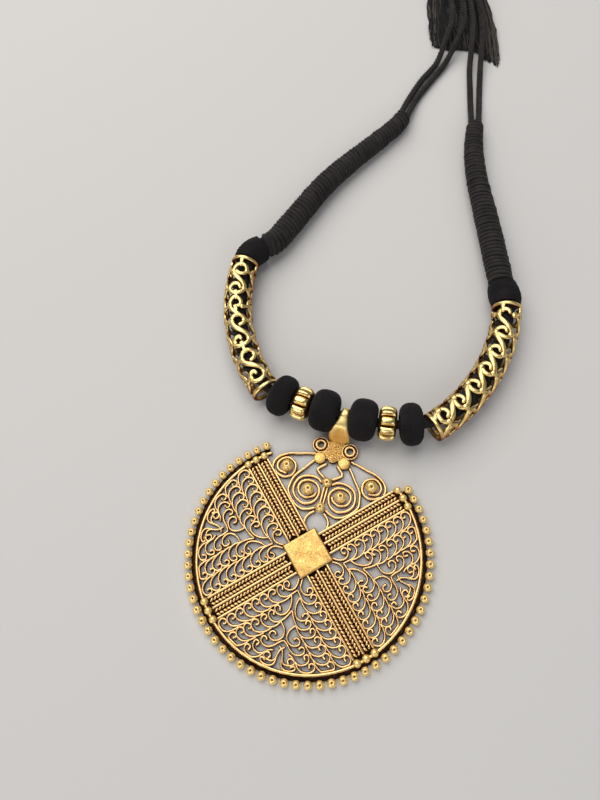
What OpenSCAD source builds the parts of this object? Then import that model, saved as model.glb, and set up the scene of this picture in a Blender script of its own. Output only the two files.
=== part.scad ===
// Tassel necklace, laid out on a flat surface. Millimetres, Z up.
// The pendant lies on its back; Y runs from the pendant to the back of the neck.
// The origin is on the surface, under the middle of the laid-out necklace.

/* [Pendant] */
// Radius of the circle through the rim balls
rim_r = 32.9; // [32:0.1:34]
// Diameter of a rim ball
ball_d = 2.2; // [1.8:0.1:2.4]
// Thickness of the pierced plate
plate_t = 1; // [0.8:0.1:1.4]
// Side of the square plate in the middle
square_side = 10.2; // [9:0.1:11]
// Width of a cross arm between its outer wires
arm_w = 6; // [5.4:0.1:6.2]
// Width of the wires
wire_w = 0.6; // [0.4:0.05:0.8]

/* [Beads] */
// Diameter of a thread-wound bead
bead_d = 12.4; // [11:0.2:13]
// Length of an inner thread-wound bead
bead_l = 8.1; // [7:0.1:8.2]
// Length of an outer thread-wound bead
outer_bead_l = 6.6; // [6:0.1:6.7]
// Diameter of a fluted bead
flute_d = 10; // [8:0.2:11]
// Length of a fluted bead
flute_l = 5.2; // [4:0.2:5.2]
// Lobes round a fluted bead
flute_n = 9; // [7:1:12]
// Diameter of the stringing cord in the beads
string_d = 2.8; // [2:0.2:3]
// Diameter of the stringing cord in the tubes
tube_string_d = 5.4; // [4:0.2:5.6]

/* [Tubes] */
// Outer diameter of a pierced tube
tube_d = 8.8; // [8:0.2:9.4]
// Wall of a pierced tube
tube_wall = 0.9; // [0.7:0.1:1.2]
// Radius that the tube's middle line is bent to
tube_bend_r = 53; // [48:1:58]
// Straight distance between the tube's ends
tube_chord = 45.6; // [44:0.2:46]

/* [Cords and tassel] */
// Diameter of one bare strand of the neck cords
strand_d = 2.2; // [1.8:0.1:2.4]
// Diameter of the knot at the back of the neck
neck_knot_d = 11.2; // [10:0.2:12]
// Length of the knot at the back of the neck
neck_knot_l = 12; // [10:0.5:14]
// Length of the longest tassel lock
lock_l = 57; // [50:1:60]
// Width of the tassel between the middles of its outer locks
tassel_w = 22.5; // [18:0.5:24]

/* [Hidden] */

$fn = 48;

// Middle of the pendant, seen from the origin
home = [2.15, -108.4, 0];
gold = "goldenrod";
black = "#1c1b1d";

// Pendant
plate_r = 30.6;
arm_half = arm_w / 2 + wire_w / 2;
arm_turn = asin(arm_half / plate_r);
inner_ball_r = 30.4;
inner_ball_turn = 4.9;
ball_step = 5.288;
ball_first = 127;
ball_count = 54;
relief_t = 0.45;
square_t = 2;

// Scroll rows of one half of a quadrant: [distance from the arm, first gap, step, gaps]
SCROLL_ROWS = [[4.2, 8.8, 2.44, 8], [8.6, 13.6, 2.27, 6], [13.1, 17.8, 2.4, 3]];
// One gap between two scrolls: [along the arm, away from the arm], from the curl's middle
SCROLL_GAP = [[-1.4, 2.8], [-0.4, 3], [0.6, 2.3], [1.05, 1.2], [0.5, 0.85], [-0.6, 1.3],
    [-0.95, 2]];
// Gaps on the quadrant's middle line: [distance from the centre, half width, half length]
AXIS_GAPS = [[13.2, 0.5, 1.7], [19.1, 1.1, 1.8]];
QUADRANTS = [180, 270, 360];

// Spirals of the open quarter: [angle, radius] about their own middles, for the right side
BIG_SPIRAL_AT = [5, 17];
BIG_SPIRAL = [[140, 4.4], [-140, 4.25], [-270, 3], [-562, 2.1]];
HEART_WIRE = [[-128, 5.9], [0, 5.3], [38, 5.7], [64, 6.7], [87, 8.4]];
SMALL_SPIRAL_AT = [12.4, 22.2];
SMALL_SPIRAL = [[-90, 2], [0, 2.7], [90, 2.4], [180, 2.4], [270, 3.3], [353, 3.9],
    [386, 3.85], [436, 3.9], [483, 5.8], [501, 8.8]];
NECK_BALLS_Y = [12.8, 20.1];
spiral_ball_z = 1.6;
spiral_base_r = 2.05;
ring_at = [0, 8.5];
ring_r = 3.2;
eye_at = [4.3, 30.4];
lobe_at = [3.6, 26.7];
lobe_r = 1.75;
bail_y = 33;

// Stringing: height of the string and the beads along it as [x, y, turn, length]
string_z = bead_d / 2;
THREAD_BEADS = [[-18.7, 40.8, -16, outer_bead_l], [-5.65, 39.4, -2, bead_l], [5.6, 39.4, 3, bead_l],
    [19, 41.5, 17, outer_bead_l]];
FLUTED_BEADS = [[-12.5, 39.8, -7], [12.5, 40, 8]];
bead_bore = string_d + 0.8;

// Tubes: the end by the beads as [x, y], and the direction of the chord from there
tube_z = 5.4;
TUBE_LEFT = [-23.8, 41.2, 115.6];
TUBE_RIGHT = [24.8, 42.1, 72.2];
tube_half_turn = asin(tube_chord / 2 / tube_bend_r);
// Holes through the tube: rings of holes along it, and turns round it
tube_hole_rings = 6;
tube_hole_d = 3.6;

// Routes, as [x, y, z, width] from the pendant's middle
STRING_ROUTE = [[-43.5, 82.3, 5.4, tube_string_d], [-42, 70.4, 5.4, tube_string_d],
    [-38.2, 59.2, 5.4, tube_string_d], [-32, 49.6, 5.6, tube_string_d], [-24.6, 42.8, 6, 3.2],
    [-18.7, 40.7, 6.2, string_d], [-12.5, 39.7, 6.2, string_d], [-5.6, 39.3, 6.2, string_d],
    [5.4, 39.3, 6.2, string_d], [12.4, 40, 6.2, string_d], [19, 41.4, 6.2, string_d],
    [22.4, 42.5, 6.2, string_d], [26, 45, 5.9, 3.6], [31.6, 51.8, 5.6, tube_string_d],
    [36.3, 62.2, 5.4, tube_string_d], [38.6, 73.4, 5.4, tube_string_d],
    [38.5, 85.7, 5.4, tube_string_d]];
COLLAR_LEFT_ROUTE = [[-43.5, 82.9, 5.2, 8.2], [-43.3, 84.9, 5.1, 8.8], [-42, 87, 5, 9.2],
    [-40, 89.2, 4.9, 8.6]];
COLLAR_RIGHT_ROUTE = [[38.5, 86.2, 5.2, 8.2], [38, 88.3, 5.1, 9.4], [37, 90.6, 5, 9.4],
    [36, 93, 4.9, 8.6]];
LEFT_ROUTE = [[-39.4, 90, 4.8, 8], [-37, 92.8, 4.5, 8.1], [-35.1, 97.4, 4.3, 8.2], [-31.2, 108.4, 4.2, 8],
    [-27, 119.6, 4, 7.7], [-21.8, 129.6, 3.7, 7.2], [-15.4, 140, 3.5, 6.7], [-9.6, 150, 3.3, 6.3],
    [-8.2, 154.6, 3.2, 6]];
RIGHT_ROUTE = [[35.8, 93.7, 4.9, 7.8], [32.6, 103, 4.3, 8], [28.4, 114.6, 4.1, 7.8],
    [24.2, 125.6, 3.9, 7.4], [20.6, 136, 3.6, 7], [18.2, 146, 3.4, 6.6], [16.9, 156, 3.2, 6]];
LEFT_1_ROUTE = [[-9.4, 155.2, 3.4, strand_d], [-8.2, 165, 1.6, strand_d],
    [-5.6, 175, 1.4, strand_d], [-2, 184, 1.8, strand_d], [-0.8, 193, 4.2, strand_d],
    [-0.4, 202, 4.9, strand_d], [-2, 211, 5.2, strand_d], [-5.6, 221, 5.8, strand_d],
    [-9.2, 231, 7, strand_d], [-10.4, 236.6, 7.4, strand_d]];
LEFT_2_ROUTE = [[-7, 154.8, 3.4, strand_d], [-5.6, 165, 1.6, strand_d],
    [-2.6, 174.4, 1.4, strand_d], [1, 184, 1.8, strand_d], [3.4, 194, 4.6, strand_d],
    [4, 203, 5.1, strand_d], [2, 212, 5.4, strand_d], [-2.4, 222, 6, strand_d],
    [-6.8, 231, 7, strand_d], [-8.1, 237.2, 7.4, strand_d]];
RIGHT_1_ROUTE = [[15.6, 156.2, 3.4, strand_d], [13.8, 166, 1.6, strand_d],
    [12, 175, 1.4, strand_d], [10.2, 184, 1.8, strand_d], [8.8, 194, 4.6, strand_d],
    [7.2, 204, 5.1, strand_d], [4.6, 213, 5.4, strand_d], [0.4, 223, 6, strand_d],
    [-4.2, 232, 7, strand_d], [-5.8, 237.9, 7.4, strand_d]];
RIGHT_2_ROUTE = [[18, 156.4, 3.4, strand_d], [16.8, 166, 1.6, strand_d],
    [15.4, 175, 1.4, strand_d], [13.8, 185, 2.4, strand_d], [12.4, 195, 4.8, strand_d],
    [10.4, 205, 5.2, strand_d], [7.6, 214, 5.4, strand_d], [3.2, 224, 6, strand_d],
    [-1.8, 233, 7, strand_d], [-3.5, 238.6, 7.4, strand_d]];

// Back of the neck: middle of the knot's near face, and the turn of its axis
neck_at = [-6.6, 238, 5.8];
neck_turn = 17;
tassel_neck_z = 2.2;
// Stations of a tassel lock: parts of its length and its spread, half width, half thickness
LOCK = [[0, 0.1, 0.9, 1.6], [0.12, 0.42, 1.4, 1.5], [0.28, 0.8, 1.8, 1.35], [0.5, 1, 2, 1.15],
    [0.75, 1.02, 1.8, 0.95], [0.92, 1.01, 1.3, 0.75], [1, 1, 0.4, 0.4]];
// Lengths of the locks as parts of the longest, from left to right
LOCK_PARTS = [0.73, 0.76, 0.78, 0.8, 0.79, 0.82, 0.88, 0.95, 1];

// Point of a scroll row, from the centre: quadrant, half (1 or -1), along the arm, away from it
function scroll(q, s, u, v) =
    u * [cos(q - 45 * s), sin(q - 45 * s)] + v * [cos(q + 45 * s), sin(q + 45 * s)];

// Outlines of all gaps of the scrollwork
scroll_gaps = [for (q = QUADRANTS, s = [1, -1], row = SCROLL_ROWS, k = [0 : row[3] - 1])
    [for (p = SCROLL_GAP) scroll(q, s, row[1] + k * row[2] + p[0], row[0] + p[1])]];
axis_gaps = [for (q = QUADRANTS, g = AXIS_GAPS)
    [for (a = [0 : 45 : 315]) let (c = g[0] + g[2] * cos(a), w = g[1] * sin(a))
        [c * cos(q) - w * sin(q), c * sin(q) + w * cos(q)]]];

// Angle and radius table to points, with a point about every 18 degrees
function turns(table) = [for (i = [0 : len(table) - 2])
    let (n = ceil(abs(table[i + 1][0] - table[i][0]) / 18))
    for (j = [0 : n - (i == len(table) - 2 ? 0 : 1)])
    let (row = table[i] + (table[i + 1] - table[i]) * j / n)
    row[1] * [cos(row[0]), sin(row[0])]];

// Place in a row that starts with x, y, z, and the direction of a line of such rows at row i
function place(row) = [row[0], row[1], row[2]];
function along(p, i) = let (d = p[min(i + 1, len(p) - 1)] - p[max(i - 1, 0)]) d / norm(d);
function heading(p, i) =
    let (d = place(p[min(i + 1, len(p) - 1)]) - place(p[max(i - 1, 0)])) d / norm(d);

// Flat wire along a line of points
module wire(points, width, height) {
    side = [for (i = [0 : len(points) - 1]) let (d = along(points, i)) [-d[1], d[0]] * width / 2];
    last = len(points) - 1;
    linear_extrude(height) polygon(concat(
        [for (i = [0 : last]) points[i] + side[i]],
        [for (i = [last : -1 : 0]) points[i] - side[i]]));
}

// A part and its mirror image across the pendant's upright middle line
module both_sides() {
    children();
    mirror([1, 0, 0]) children();
}

// Plate with the scrollwork cut through as one outline with many holes
module scroll_plate() {
    rim = [for (a = [135 - arm_turn : 3 : 405 + arm_turn]) (plate_r - wire_w / 2) * [cos(a), sin(a)]];
    outline = concat(rim, [[0, arm_half * sqrt(2)]]);
    gaps = concat(scroll_gaps, axis_gaps);
    counts = concat([len(outline)], [for (g = gaps) len(g)]);
    starts = [for (i = 0, n = 0; i < len(counts); n = n + counts[i], i = i + 1) n];
    linear_extrude(plate_t) polygon(
        concat(outline, [for (g = gaps, p = g) p]),
        [for (i = [0 : len(counts) - 1]) [for (j = [0 : counts[i] - 1]) starts[i] + j]]);
}

// Flange outside the plate, its thin wire and the balls
module rim() {
    first = ball_first - 1;
    rotate(first) rotate_extrude(angle = 405 + arm_turn - first, $fn = 120) {
        translate([plate_r - wire_w, 0]) square([rim_r - plate_r + wire_w - 0.4, 0.7]);
        translate([plate_r - wire_w, 0]) square([wire_w, plate_t + relief_t]);
    }
    for (i = [0 : ball_count - 1]) rotate(ball_first + i * ball_step)
        translate([rim_r, 0, ball_d / 2 + 0.05]) sphere(d = ball_d);
}

// Raised wires and braids of one cross arm, along +X, and the balls at its end
module arm() {
    start = square_side / 2 - 0.4;
    for (y = [-arm_w / 2, 0, arm_w / 2]) translate([start, y - wire_w / 2, 0])
        cube([29 - start, wire_w, plate_t + relief_t]);
    for (y = [-arm_w / 4, arm_w / 4]) translate([start, y - 0.8, 0])
        cube([28.9 - start, 1.6, plate_t + relief_t / 2]);
    for (a = [-inner_ball_turn, 0, inner_ball_turn]) rotate(a)
        translate([inner_ball_r, 0, plate_t + 0.2]) sphere(d = ball_d);
}

// Open quarter: ring, spirals and their balls
module open_quarter() {
    translate(ring_at) linear_extrude(plate_t) difference() {
        circle(r = ring_r + wire_w / 2);
        circle(r = ring_r - wire_w / 2);
    }
    for (y = NECK_BALLS_Y) translate([0, y, spiral_ball_z]) sphere(d = 3);
    both_sides() {
        translate([0.65 - wire_w / 2, 13.6, 0]) cube([wire_w, 5.6, plate_t]);
        translate(BIG_SPIRAL_AT) {
            wire(turns(BIG_SPIRAL), wire_w, plate_t);
            wire(turns(HEART_WIRE), wire_w, plate_t);
            translate([0, 0, spiral_ball_z]) sphere(d = 3);
            cylinder(h = 0.5, r = spiral_base_r);
        }
        translate(SMALL_SPIRAL_AT) {
            wire(turns(SMALL_SPIRAL), wire_w, plate_t);
            translate([0, 0, spiral_ball_z]) sphere(d = 2.8);
            cylinder(h = 0.5, r = spiral_base_r);
        }
        wire([[1.6, 26.4], [3.5, 24], [1, 21]], wire_w, plate_t);
    }
}

// Lobed top plate with its two eyelets
module top_plate() {
    difference() {
        union() {
            translate([-2.9, 27, 0]) cube([5.8, bail_y - 27, plate_t + 0.4]);
            translate([0, 27.7, 0]) cylinder(h = plate_t + 0.6, r = lobe_r);
            both_sides() {
                translate(lobe_at) cylinder(h = plate_t + 0.7, r = lobe_r);
                translate(eye_at) cylinder(h = plate_t, r = 2.3);
                translate(eye_at) cylinder(h = plate_t + 0.7, r = 1.55);
            }
        }
        both_sides() translate([eye_at[0], eye_at[1], -1]) cylinder(h = 4, r = 1);
    }
}

// Round part of the bail's side view
function round_part(middle, r) = [for (a = [-68 : 16 : 124]) middle + r * [cos(a), sin(a)]];

// Strap that rises from the top plate, goes over the string and comes back below it
module bail() {
    ring = [39.4, string_z];
    strap = 0.8;
    inner_r = string_d / 2 + 0.35;
    intersection() {
        rotate([90, 0, 90]) translate([0, 0, -4]) linear_extrude(8) difference() {
            polygon(concat([[bail_y - 1.2, 0.2]], round_part(ring, inner_r + strap),
                [[bail_y - 1.2, 1.4]]));
            polygon(concat([[bail_y + 1.1, 1.5]], round_part(ring, inner_r)));
        }
        linear_extrude(20) polygon([[-3.1, 31], [3.1, 31], [3.1, 33.4], [1.4, 35.6], [0.8, 38],
            [0.8, 44], [-0.8, 44], [-0.8, 38], [-1.4, 35.6], [-3.1, 33.4]]);
    }
}

module pendant() {
    color(gold) translate(home) {
        scroll_plate();
        rim();
        for (a = [45 : 90 : 315]) rotate(a) arm();
        translate([0, 0, square_t / 2]) rotate(45)
            cube([square_side, square_side, square_t], center = true);
        open_quarter();
        top_plate();
        bail();
    }
}

// Outline of a wound body of revolution: round shoulders, flat ends
function wound(d, l, bore, power) = concat([[bore / 2, -l / 2]],
    [for (a = [-80 : 10 : 80]) let (c = cos(a), s = sin(a))
        [bore / 2 + (d - bore) / 2 * pow(c, 2 / power), l / 2 * sign(s) * pow(abs(s), 2 / power)]],
    [[bore / 2, l / 2]]);

// Thread-wound bead, drilled for the string
module thread_bead(row) {
    color(black) translate(home + [row[0], row[1], string_z]) rotate([0, 90, row[2]])
        rotate_extrude() polygon(wound(bead_d, row[3], bead_bore, 2.6));
}

// Fluted bead: lobes side by side, cut to a barrel and drilled for the string
module fluted_bead(row) {
    lobe = flute_d * PI / flute_n / 2;
    reach = (flute_d - lobe * 1.1) / 2;
    color(gold) translate(home + [row[0], row[1], string_z]) rotate([0, 90, row[2]])
        intersection() {
            linear_extrude(flute_l + 1, center = true) difference() {
                union() {
                    circle(d = flute_d - lobe);
                    for (i = [0 : flute_n - 1]) rotate(i * 360 / flute_n)
                        translate([reach - lobe * 0.45, 0]) circle(r = lobe);
                }
                circle(d = bead_bore);
            }
            rotate_extrude() polygon(wound(flute_d, flute_l, 0, 3));
        }
}

// Pierced tube, bent to a circle, with a rim at each end and round holes right through
module tube(place, bend) {
    color(gold) translate(home + [place[0], place[1], tube_z]) rotate(place[2])
        translate([tube_chord / 2, bend * tube_bend_r * cos(tube_half_turn), 0])
        rotate(-bend * 90) difference() {
            rotate(-tube_half_turn) rotate_extrude(angle = 2 * tube_half_turn, $fn = 96)
                translate([tube_bend_r, 0]) circle(d = tube_d);
            rotate(-tube_half_turn - 2) rotate_extrude(angle = 2 * tube_half_turn + 4, $fn = 96)
                translate([tube_bend_r, 0]) circle(d = tube_d - 2 * tube_wall);
            for (i = [0.5 : tube_hole_rings]) {
                turn = tube_half_turn * 0.94 * (2 * i / tube_hole_rings - 1);
                for (a = [0, 90]) rotate(turn) translate([tube_bend_r, 0, 0])
                    rotate([0, a, 0]) cylinder(h = 2 * tube_d, d = tube_hole_d, center = true);
            }
        }
}

// Round tube along a route of [x, y, z, width]
module cord(route, sides) {
    p = smooth(route);
    last = len(p) - 1;
    rings = [for (i = [0 : last])
        let (t = heading(p, i), x = cross(t, [0, 0, 1]) / norm(cross(t, [0, 0, 1])), z = cross(x, t))
        for (k = [0 : sides - 1]) let (a = 360 * k / sides)
            place(p[i]) + p[i][3] / 2 * (cos(a) * x + sin(a) * z)];
    walls = [for (i = [0 : last - 1], k = [0 : sides - 1]) let (n = (k + 1) % sides)
        [i * sides + k, i * sides + n, (i + 1) * sides + n, (i + 1) * sides + k]];
    color(black) translate(home) polyhedron(rings, concat(walls,
        [[for (k = [sides - 1 : -1 : 0]) k]], [[for (k = [0 : sides - 1]) last * sides + k]]));
}

// Curve through the points of a route, with one more point in each stretch
function smooth(p) = [for (i = [0 : len(p) - 1]) each i == len(p) - 1 ? [p[i]] :
    let (a = p[max(i - 1, 0)], b = p[i], c = p[i + 1], d = p[min(i + 2, len(p) - 1)])
    [b, (9 * (b + c) - a - d) / 16]];

// Knot that gathers the strands at the back of the neck
module neck_knot() {
    color(black) translate(home + neck_at) rotate([-90, 0, neck_turn])
        rotate_extrude() polygon(concat([[0, 0]],
            [for (i = [0 : 16]) let (t = i / 16)
                [neck_knot_d / 2 - 1.2 * pow(2 * t - 1, 4) + 0.15 * cos(t * 1440), neck_knot_l * t]],
            [[0, neck_knot_l]]));
}

// Tassel: a bound neck and a sheet of flat locks side by side on the surface
module tassel() {
    locks = len(LOCK_PARTS);
    color(black) translate(home + [neck_at[0], neck_at[1], 0]) rotate(neck_turn) {
        translate([0, -0.2, tassel_neck_z]) rotate([90, 0, 0]) cylinder(h = 7, d = 4, $fn = 24);
        for (i = [0 : locks - 1], k = [0 : len(LOCK) - 2])
            let (spread = tassel_w / 2 * (2 * i / (locks - 1) - 1), length = lock_l * LOCK_PARTS[i])
            hull() {
                lock_slice(LOCK[k], spread, length);
                lock_slice(LOCK[k + 1], spread, length);
            }
    }
}

// Thin slice of a lock at one of its stations; it rests on the surface away from the neck
module lock_slice(row, spread, length) {
    z = row[3] + (tassel_neck_z - LOCK[0][3]) * (1 - row[0]);
    translate([spread * row[1], -5 - (length - 5) * row[0], z]) rotate([90, 0, 0])
        linear_extrude(0.02) scale([row[2], row[3]]) circle(r = 1, $fn = 10);
}

pendant();
cord(STRING_ROUTE, 8);  // stringing_cord
thread_bead(THREAD_BEADS[0]);  // thread_bead_1
thread_bead(THREAD_BEADS[1]);  // thread_bead_2
thread_bead(THREAD_BEADS[2]);  // thread_bead_3
thread_bead(THREAD_BEADS[3]);  // thread_bead_4
fluted_bead(FLUTED_BEADS[0]);  // fluted_bead_left
fluted_bead(FLUTED_BEADS[1]);  // fluted_bead_right
tube(TUBE_LEFT, -1);  // tube_left
tube(TUBE_RIGHT, 1);  // tube_right
cord(COLLAR_LEFT_ROUTE, 16);  // collar_left
cord(COLLAR_RIGHT_ROUTE, 16);  // collar_right
cord(LEFT_ROUTE, 12);  // neck_cord_left
cord(RIGHT_ROUTE, 12);  // neck_cord_right
cord(LEFT_1_ROUTE, 8);  // strand_left_1
cord(LEFT_2_ROUTE, 8);  // strand_left_2
cord(RIGHT_1_ROUTE, 8);  // strand_right_1
cord(RIGHT_2_ROUTE, 8);  // strand_right_2
neck_knot();
tassel();
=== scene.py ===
"""Tassel necklace laid flat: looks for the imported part. Metres, in the part's frame."""
import bpy
import bmesh
import math
import numpy as np
from mathutils import Matrix, Vector


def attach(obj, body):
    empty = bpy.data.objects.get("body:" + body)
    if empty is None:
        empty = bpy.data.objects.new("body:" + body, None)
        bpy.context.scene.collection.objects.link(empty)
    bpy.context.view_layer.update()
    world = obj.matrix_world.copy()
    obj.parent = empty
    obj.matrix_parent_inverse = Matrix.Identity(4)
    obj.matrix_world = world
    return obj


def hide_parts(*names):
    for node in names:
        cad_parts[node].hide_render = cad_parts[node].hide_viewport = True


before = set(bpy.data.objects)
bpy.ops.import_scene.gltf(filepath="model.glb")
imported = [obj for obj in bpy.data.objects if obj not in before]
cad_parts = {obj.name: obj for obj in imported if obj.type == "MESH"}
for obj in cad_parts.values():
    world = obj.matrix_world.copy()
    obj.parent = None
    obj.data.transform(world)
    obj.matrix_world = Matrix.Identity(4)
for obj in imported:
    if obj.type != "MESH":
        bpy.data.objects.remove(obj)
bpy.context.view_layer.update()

MM = 0.001
HOME = np.array([2.15, -108.4, 0.0])  # middle of the pendant, in millimetres
AT_HOME = Matrix.Translation(Vector(HOME * MM))
UNMOVED = Matrix.Identity(4)
STRING_Z = 6.2  # height of the string's middle in the beads
TUBE_Z = 5.4  # height of the tubes' middle
WIRE_SQUARE = 0.85  # section of the pendant's wires, where 1 is round


# Lengths, directions and curves

def row(points):
    """Points from the pendant's middle in millimetres, to the part's frame in metres."""
    return (np.asarray(points, float) + HOME) * MM


def direction(degrees):
    """Unit vector in the plane of the surface."""
    return np.array([math.cos(math.radians(degrees)), math.sin(math.radians(degrees))])


def smooth(points, steps):
    """Catmull-Rom curve through all columns of a short table."""
    p = np.asarray(points, float)
    p = np.vstack([2 * p[0] - p[1], p, 2 * p[-1] - p[-2]])
    out = []
    for a, b, c, d in zip(p[:-3], p[1:-2], p[2:-1], p[3:]):
        for t in np.arange(steps) / steps:
            out.append(0.5 * (2 * b + (c - a) * t + (2 * a - 5 * b + 4 * c - d) * t ** 2
                              + (3 * b - a - 3 * c + d) * t ** 3))
    return np.array(out + [p[-2]])


def distances(points):
    """Way along a line from its first point to each point."""
    return np.concatenate([[0], np.cumsum(np.linalg.norm(np.diff(points[:, :3], axis=0), axis=1))])


def even(points, spacing):
    """The same line with points at an even spacing, other columns going along."""
    s = distances(points)
    at = np.linspace(0, s[-1], max(2, int(round(s[-1] / spacing)) + 1))
    return np.column_stack([np.interp(at, s, column) for column in points.T])


def length_of(points):
    return float(distances(points)[-1])


def lying(x, y, z, turn):
    """Frame whose X points along a direction on the surface, at a place in millimetres."""
    return Matrix.Translation(Vector(row([x, y, z]))) @ Matrix.Rotation(math.radians(turn), 4, "Z")


# Meshes and pieces

def mesh_from(name, verts, edges=(), faces=(), attributes=None):
    """Mesh whose points may have attributes, each a number or a vector for every point."""
    mesh = bpy.data.meshes.new(name)
    mesh.from_pydata([tuple(v) for v in verts], [tuple(e) for e in edges], [tuple(f) for f in faces])
    for key, values in (attributes or {}).items():
        values = np.asarray(values, np.float32)
        kind, field = ("FLOAT_VECTOR", "vector") if values.ndim == 2 else ("FLOAT", "value")
        mesh.attributes.new(key, kind, "POINT").data.foreach_set(field, values.ravel())
    return mesh


def tidy(mesh, merge=1e-7):
    """Merges doubles and turns every face outwards."""
    b = bmesh.new()
    b.from_mesh(mesh)
    bmesh.ops.remove_doubles(b, verts=b.verts, dist=merge)
    bmesh.ops.dissolve_degenerate(b, dist=merge, edges=b.edges)
    bmesh.ops.recalc_face_normals(b, faces=b.faces)
    b.to_mesh(mesh)
    b.free()
    return mesh


def add_object(name, data):
    o = bpy.data.objects.new(name, data)
    bpy.context.scene.collection.objects.link(o)
    return o


def piece(name, meshes, node):
    """One finished object from one or more meshes, which stands for a CAD node."""
    made = [add_object(name, mesh) for mesh in meshes]
    o = made[0]
    if len(made) > 1:
        with bpy.context.temp_override(active_object=o, object=o, selected_objects=made,
                                       selected_editable_objects=made):
            bpy.ops.object.join()
    o.name = name
    o.data.name = name
    o.data.polygons.foreach_set("use_smooth", np.ones(len(o.data.polygons), bool))
    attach(o, "root")
    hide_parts(node)
    return o


def skin(rings, closed=False):
    """Points and quads of rings side by side, with a cap at each end unless the rings close up."""
    n, m = rings.shape[:2]
    i, j = np.meshgrid(np.arange(n if closed else n - 1), np.arange(m), indexing="ij")
    i, j = i.ravel(), j.ravel()
    a, b = (i + 1) % n, (j + 1) % m
    faces = np.stack([i * m + j, a * m + j, a * m + b, i * m + b], 1).tolist()
    if not closed:
        faces += [list(range(m)), [(n - 1) * m + k for k in range(m)]]
    return rings.reshape(-1, 3), faces


def solid(verts, faces, material, place=UNMOVED):
    """Closed mesh in metres, with its finish, at its place."""
    mesh = mesh_from("solid", verts, faces=faces)
    mesh.transform(place)
    mesh.materials.append(material)
    return tidy(mesh)


def ring(x, radius, angles):
    """Ring of points about X, whose radius may change on the way round."""
    return np.column_stack([np.full_like(angles, x), radius * np.cos(angles), radius * np.sin(angles)])


def lathe(profile, sides, place, material, closed=False):
    """Body turned about X from rows of x and radius in millimetres."""
    angles = np.linspace(0, 2 * np.pi, sides, endpoint=False)
    rings = np.array([ring(x, r, angles) for x, r in np.asarray(profile, float) * MM])
    return solid(*skin(rings, closed), material, place)


def line_mesh(lines, attributes=None, closed=False):
    """Mesh of open or closed lines, each a list of points, in metres."""
    verts, edges = [], []
    for points in lines:
        at, n = len(verts), len(points)
        verts += [tuple(p[:3]) for p in points]
        edges += [(at + k, at + k + 1) for k in range(n - 1)]
        if closed:
            edges.append((at + n - 1, at))
    return mesh_from("lines", verts, edges=edges, attributes=attributes)


def flat_lines(tables):
    """Mesh of lines on z = 0, from columns x, y in millimetres and a share of the width."""
    return line_mesh([np.column_stack([p[:, :2] * MM, np.zeros(len(p))]) for p in tables],
                     {"thick": np.concatenate([p[:, 2] for p in tables])})


# Nodes of trees and of materials

class Network:
    """Nodes that are added one by one, with inputs set or linked by name, or by number such as _0."""

    def __init__(self, tree):
        self.tree = tree

    def add(self, kind, out=0, settings=None, **inputs):
        """Adds a node and gives one of its outputs."""
        node = self.tree.nodes.new(kind)
        for key, value in (settings or {}).items():
            setattr(node, key, value)
        for key, value in inputs.items():
            found = [s for s in node.inputs if s.name == key.replace("_", " ") and s.enabled]
            socket = found[0] if found else node.inputs[int(key[1:])]
            for v in value if isinstance(value, list) else [value]:
                if isinstance(v, bpy.types.NodeSocket):
                    self.tree.links.new(v, socket)
                else:
                    socket.default_value = v
        return node.outputs[out]

    def math(self, operation, a, b=0.0, c=0.0):
        return self.add("ShaderNodeMath", 0, {"operation": operation}, _0=a, _1=b, _2=c)

    def times(self, value, *others):
        """Product of two or more values."""
        for other in others:
            value = self.math("MULTIPLY", value, other)
        return value

    def plus(self, a, b):
        return self.math("ADD", a, b)

    def times_plus(self, a, b, c):
        return self.math("MULTIPLY_ADD", a, b, c)

    def parts(self, vector):
        """The x, y and z of a vector."""
        return self.add("ShaderNodeSeparateXYZ", Vector=vector).node.outputs

    def spread(self, value, low, high, start=0.0, end=1.0, kind="LINEAR"):
        """Value between low and high, as a value between start and end."""
        return self.add("ShaderNodeMapRange", 0, {"interpolation_type": kind}, Value=value,
                        From_Min=low, From_Max=high, To_Min=start, To_Max=end)


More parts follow.
